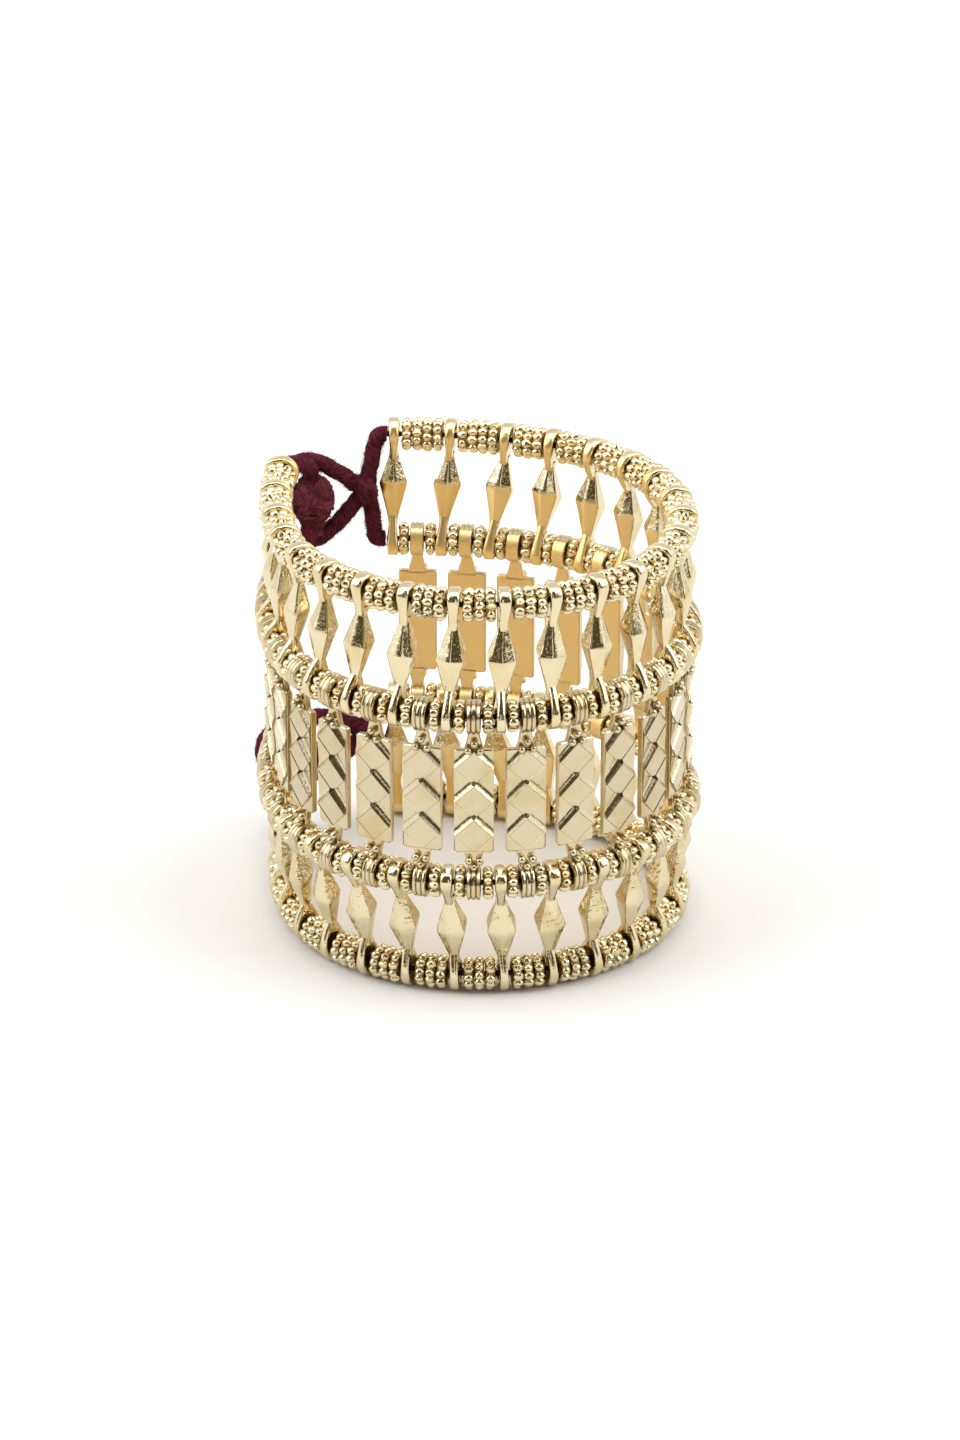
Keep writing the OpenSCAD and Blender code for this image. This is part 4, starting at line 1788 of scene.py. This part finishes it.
def lower_closure(layout: CuffLayout) -> Closure:
    """Gives the closure between the last two threads.

    Args:
        layout: where the links sit.

    Returns:
        The closure with its routes.
    """
    return Closure(
        name="lower",
        upper=LOWER,
        lower=BOTTOM,
        layout=layout,
        upper_leg=[
            (0.96, 0, 0.7), (0.935, 0, 1.15), (0.905, 0.03, 1.4), (0.88, 0.09, 1.6),
            (0.86, 0.16, 1.7), (0.84, 0.24, 1.8),
        ],
        lower_leg=[
            (0.96, 1, 0.7), (0.935, 1, 1.15), (0.905, 0.97, 1.4), (0.88, 0.88, 1.5),
            (0.87, 0.75, 1.6), (0.85, 0.6, 1.7), (0.84, 0.42, 1.8), (0.83, 0.34, 1.9),
        ],
        loop=[
            (0.8, 0.26, 2.1), (0.71, 0.19, 2.8), (0.61, 0.12, 3.7), (0.5, 0.08, 4.6),
            (0.39, 0.07, 5.4), (0.29, 0.09, 6.4), (0.19, 0.16, 7.1), (0.13, 0.26, 7.6),
            (0.12, 0.38, 7.7), (0.13, 0.5, 7.6), (0.19, 0.59, 7.1), (0.29, 0.65, 6.4),
            (0.39, 0.66, 5.4), (0.5, 0.62, 4.6), (0.61, 0.54, 3.7), (0.71, 0.44, 2.8),
            (0.8, 0.35, 2.1),
        ],
        button_cord=[
            (0.04, 0, 0.7), (0.065, 0, 1.15), (0.12, 0.01, 1.9), (0.18, 0.05, 2.7),
            (0.23, 0.1, 3.2), (0.25, 0.17, 3.5), (0.25, 0.58, 3.5), (0.23, 0.68, 3.2),
            (0.18, 0.8, 2.6), (0.13, 0.92, 1.9), (0.065, 1, 1.15), (0.04, 1, 0.7),
        ],
        knot=(0.82, 0.3, 1.9),
        button=(0.29, 0.37, 4.2),
    )


# Studio


@dataclass(frozen=True)
class Studio:
    """White table, white tent of light with a darker room behind the camera, and the camera.

    Attributes:
        target: what the camera looks at, in metres.
        distance: how far away it stands, in metres.
        elevation: how far it looks down, in degrees.
        lens: focal length in millimetres.
        film_height: height of the film in millimetres.
        floor_size: width of the table, in metres.
        paper_grain_mm: size of the paper's grain.
        tent_strength: brightness of the tent.
        softboxes: name, place and width of each lamp in metres, and its power in watts.
        lit_place: what the lamps point at, in metres.
    """

    target: tuple[float, float, float] = (0.00024, -0.00053, 0.029)
    distance: float = 1.25
    elevation: float = 25.5
    lens: float = 218.75
    film_height: float = 36.0
    floor_size: float = 12.0
    paper_grain_mm: float = 0.8
    tent_strength: float = 1.27
    softboxes: tuple[tuple[str, tuple[float, float, float], float, float], ...] = (
        ("overhead", (0.0, 0.05, 1.0), 0.6, 2.8),
        ("left", (-0.66, -0.1, 0.62), 0.7, 3.1),
        ("right", (0.66, -0.1, 0.62), 0.7, 3.1),
    )
    lit_place: tuple[float, float, float] = (0.0, 0.0, 0.03)

    def camera(self) -> None:
        """Sets the camera up at the photograph's viewing angle."""
        data = bpy.data.cameras.new("camera")
        data.sensor_fit = "VERTICAL"
        data.sensor_height = self.film_height
        data.lens = self.lens
        data.clip_start = 0.1
        data.clip_end = 50.0
        made = bpy.data.objects.new("camera", data)
        down = math.radians(self.elevation)
        away = Vector((0, -math.cos(down), math.sin(down))) * self.distance
        made.location = Vector(self.target) + away
        made.rotation_euler = (math.pi / 2 - down, 0, 0)
        bpy.context.scene.collection.objects.link(made)
        bpy.context.scene.camera = made

    def floor(self) -> None:
        """Lays the pale paper that the cuff stands on."""
        half = self.floor_size / 2
        mesh = bpy.data.meshes.new("table")
        corners = [(-half, -half, 0), (half, -half, 0), (half, half, 0), (-half, half, 0)]
        mesh.from_pydata(corners, [], [(0, 1, 2, 3)])
        material, nodes = new_material("white_paper")
        scale = 1 / (self.paper_grain_mm * MILLIMETRE)
        grain = nodes.noise(nodes.coordinate("Object"), scale, detail=2.0)
        tone = nodes.mix(grain, "#E4E3E1", "#E7E6E4")
        nodes.dress({"Base Color": tone, "Roughness": 0.9, "Specular IOR Level": 0.1})
        mesh.materials.append(material)
        made = bpy.data.objects.new("table", mesh)
        bpy.context.scene.collection.objects.link(made)

    @staticmethod
    def zone(
        nodes: Nodes, *limits: tuple[bpy.types.NodeSocket, float, float]
    ) -> bpy.types.NodeSocket:
        """Marks a part of the sky with soft edges.

        Args:
            nodes: what adds nodes to the world.
            *limits: an angle, where it is still outside, and where it is well inside.

        Returns:
            One inside the zone and zero outside it.
        """
        first, *others = [nodes.remap(*limit, smooth=True) for limit in limits]
        for edge in others:
            first = nodes.calculate("MULTIPLY", first, edge)
        return first

    def tent(self) -> None:
        """Sets the world: a white tent of light, open towards the darker room in front."""
        world = bpy.data.worlds.new("tent")
        world.use_nodes = True
        world.node_tree.nodes.clear()
        nodes = Nodes(world.node_tree)
        where = nodes.split(nodes.coordinate("Generated"))
        degree = 180 / math.pi
        # Degrees above the horizon, and to either side of the camera
        rise = nodes.calculate("MULTIPLY", nodes.calculate("ARCSINE", where["Z"]), degree)
        turn = nodes.calculate("MULTIPLY", nodes.calculate("ARCTAN2", where["X"], where["Y"]), degree)
        aside = nodes.calculate("SUBTRACT", 180.0, nodes.calculate("ABSOLUTE", turn))
        # The dark room behind the camera, where the tent is open but for a slit of light
        low = self.zone(nodes, (rise, 0, 4), (rise, 24, 14), (aside, 78, 56))
        high = self.zone(nodes, (rise, 0, 4), (rise, 76, 62), (aside, 56, 34))
        slit = self.zone(nodes, (aside, 7, 3), (rise, 36, 28))
        beside_slit = nodes.calculate("SUBTRACT", 1.0, slit)
        room = nodes.calculate("MULTIPLY", nodes.calculate("MAXIMUM", low, high), beside_slit)
        behind = self.zone(nodes, (aside, 110, 140), (rise, 12, 25), (rise, 72, 58))
        tent = nodes.mix(behind, "#FFFFFF", "#DDDBD7")
        light = nodes.mix(room, tent, "#50472E")
        glow = nodes.add("Background", {"Color": light, "Strength": self.tent_strength})
        nodes.add("OutputWorld", {"Surface": glow[0]})
        bpy.context.scene.world = world

    def lamps(self) -> None:
        """Hangs a wide softbox over the cuff and a smaller one at each side."""
        for name, place, size, power in self.softboxes:
            data = bpy.data.lights.new(name, "AREA")
            data.shape = "SQUARE"
            data.size = size
            data.energy = power
            made = bpy.data.objects.new(name, data)
            made.location = place
            aim = Vector(self.lit_place) - Vector(place)
            made.rotation_euler = aim.to_track_quat("-Z", "Y").to_euler()
            bpy.context.scene.collection.objects.link(made)

    def build(self) -> None:
        """Sets up the whole studio."""
        self.camera()
        self.floor()
        self.tent()
        self.lamps()
        view = bpy.context.scene.view_settings
        view.view_transform = "Standard"
        view.look = "None"


def main() -> None:
    """Builds the cuff over its frame, piece by piece."""
    logging.basicConfig(level=logging.INFO, format="%(name)s: %(message)s")
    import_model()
    Studio().build()
    layout = CuffLayout()
    bead_gold, painted_shade_gold, loop_gold = BEAD_GOLD.make(), PAINTED_SHADE_GOLD.make(), LOOP_GOLD.make()
    cord, winding, stringing = CORD_COTTON.make(), WINDING_COTTON.make(), THREAD_COTTON.make()
    for thread in (TOP, UPPER, LOWER, BOTTOM):
        SpacerBeads(thread, layout).build(bead_gold, painted_shade_gold)
        StringingThread(thread, layout).build(stringing)
    SpindleRow("spindles_top", TOP, UPPER, layout).build(SPINDLE_GOLD.make(), loop_gold)
    SpindleRow("spindles_bottom", LOWER, BOTTOM, layout).build(COARSE_GOLD.make(), loop_gold)
    tile_gold = TILE_GOLD.make()
    for number in range(layout.tiles):
        TileLink(number, layout).build(tile_gold)
    for closure in (upper_closure(layout), lower_closure(layout)):
        closure.build(cord, winding)


if __name__ == "__main__":
    main()
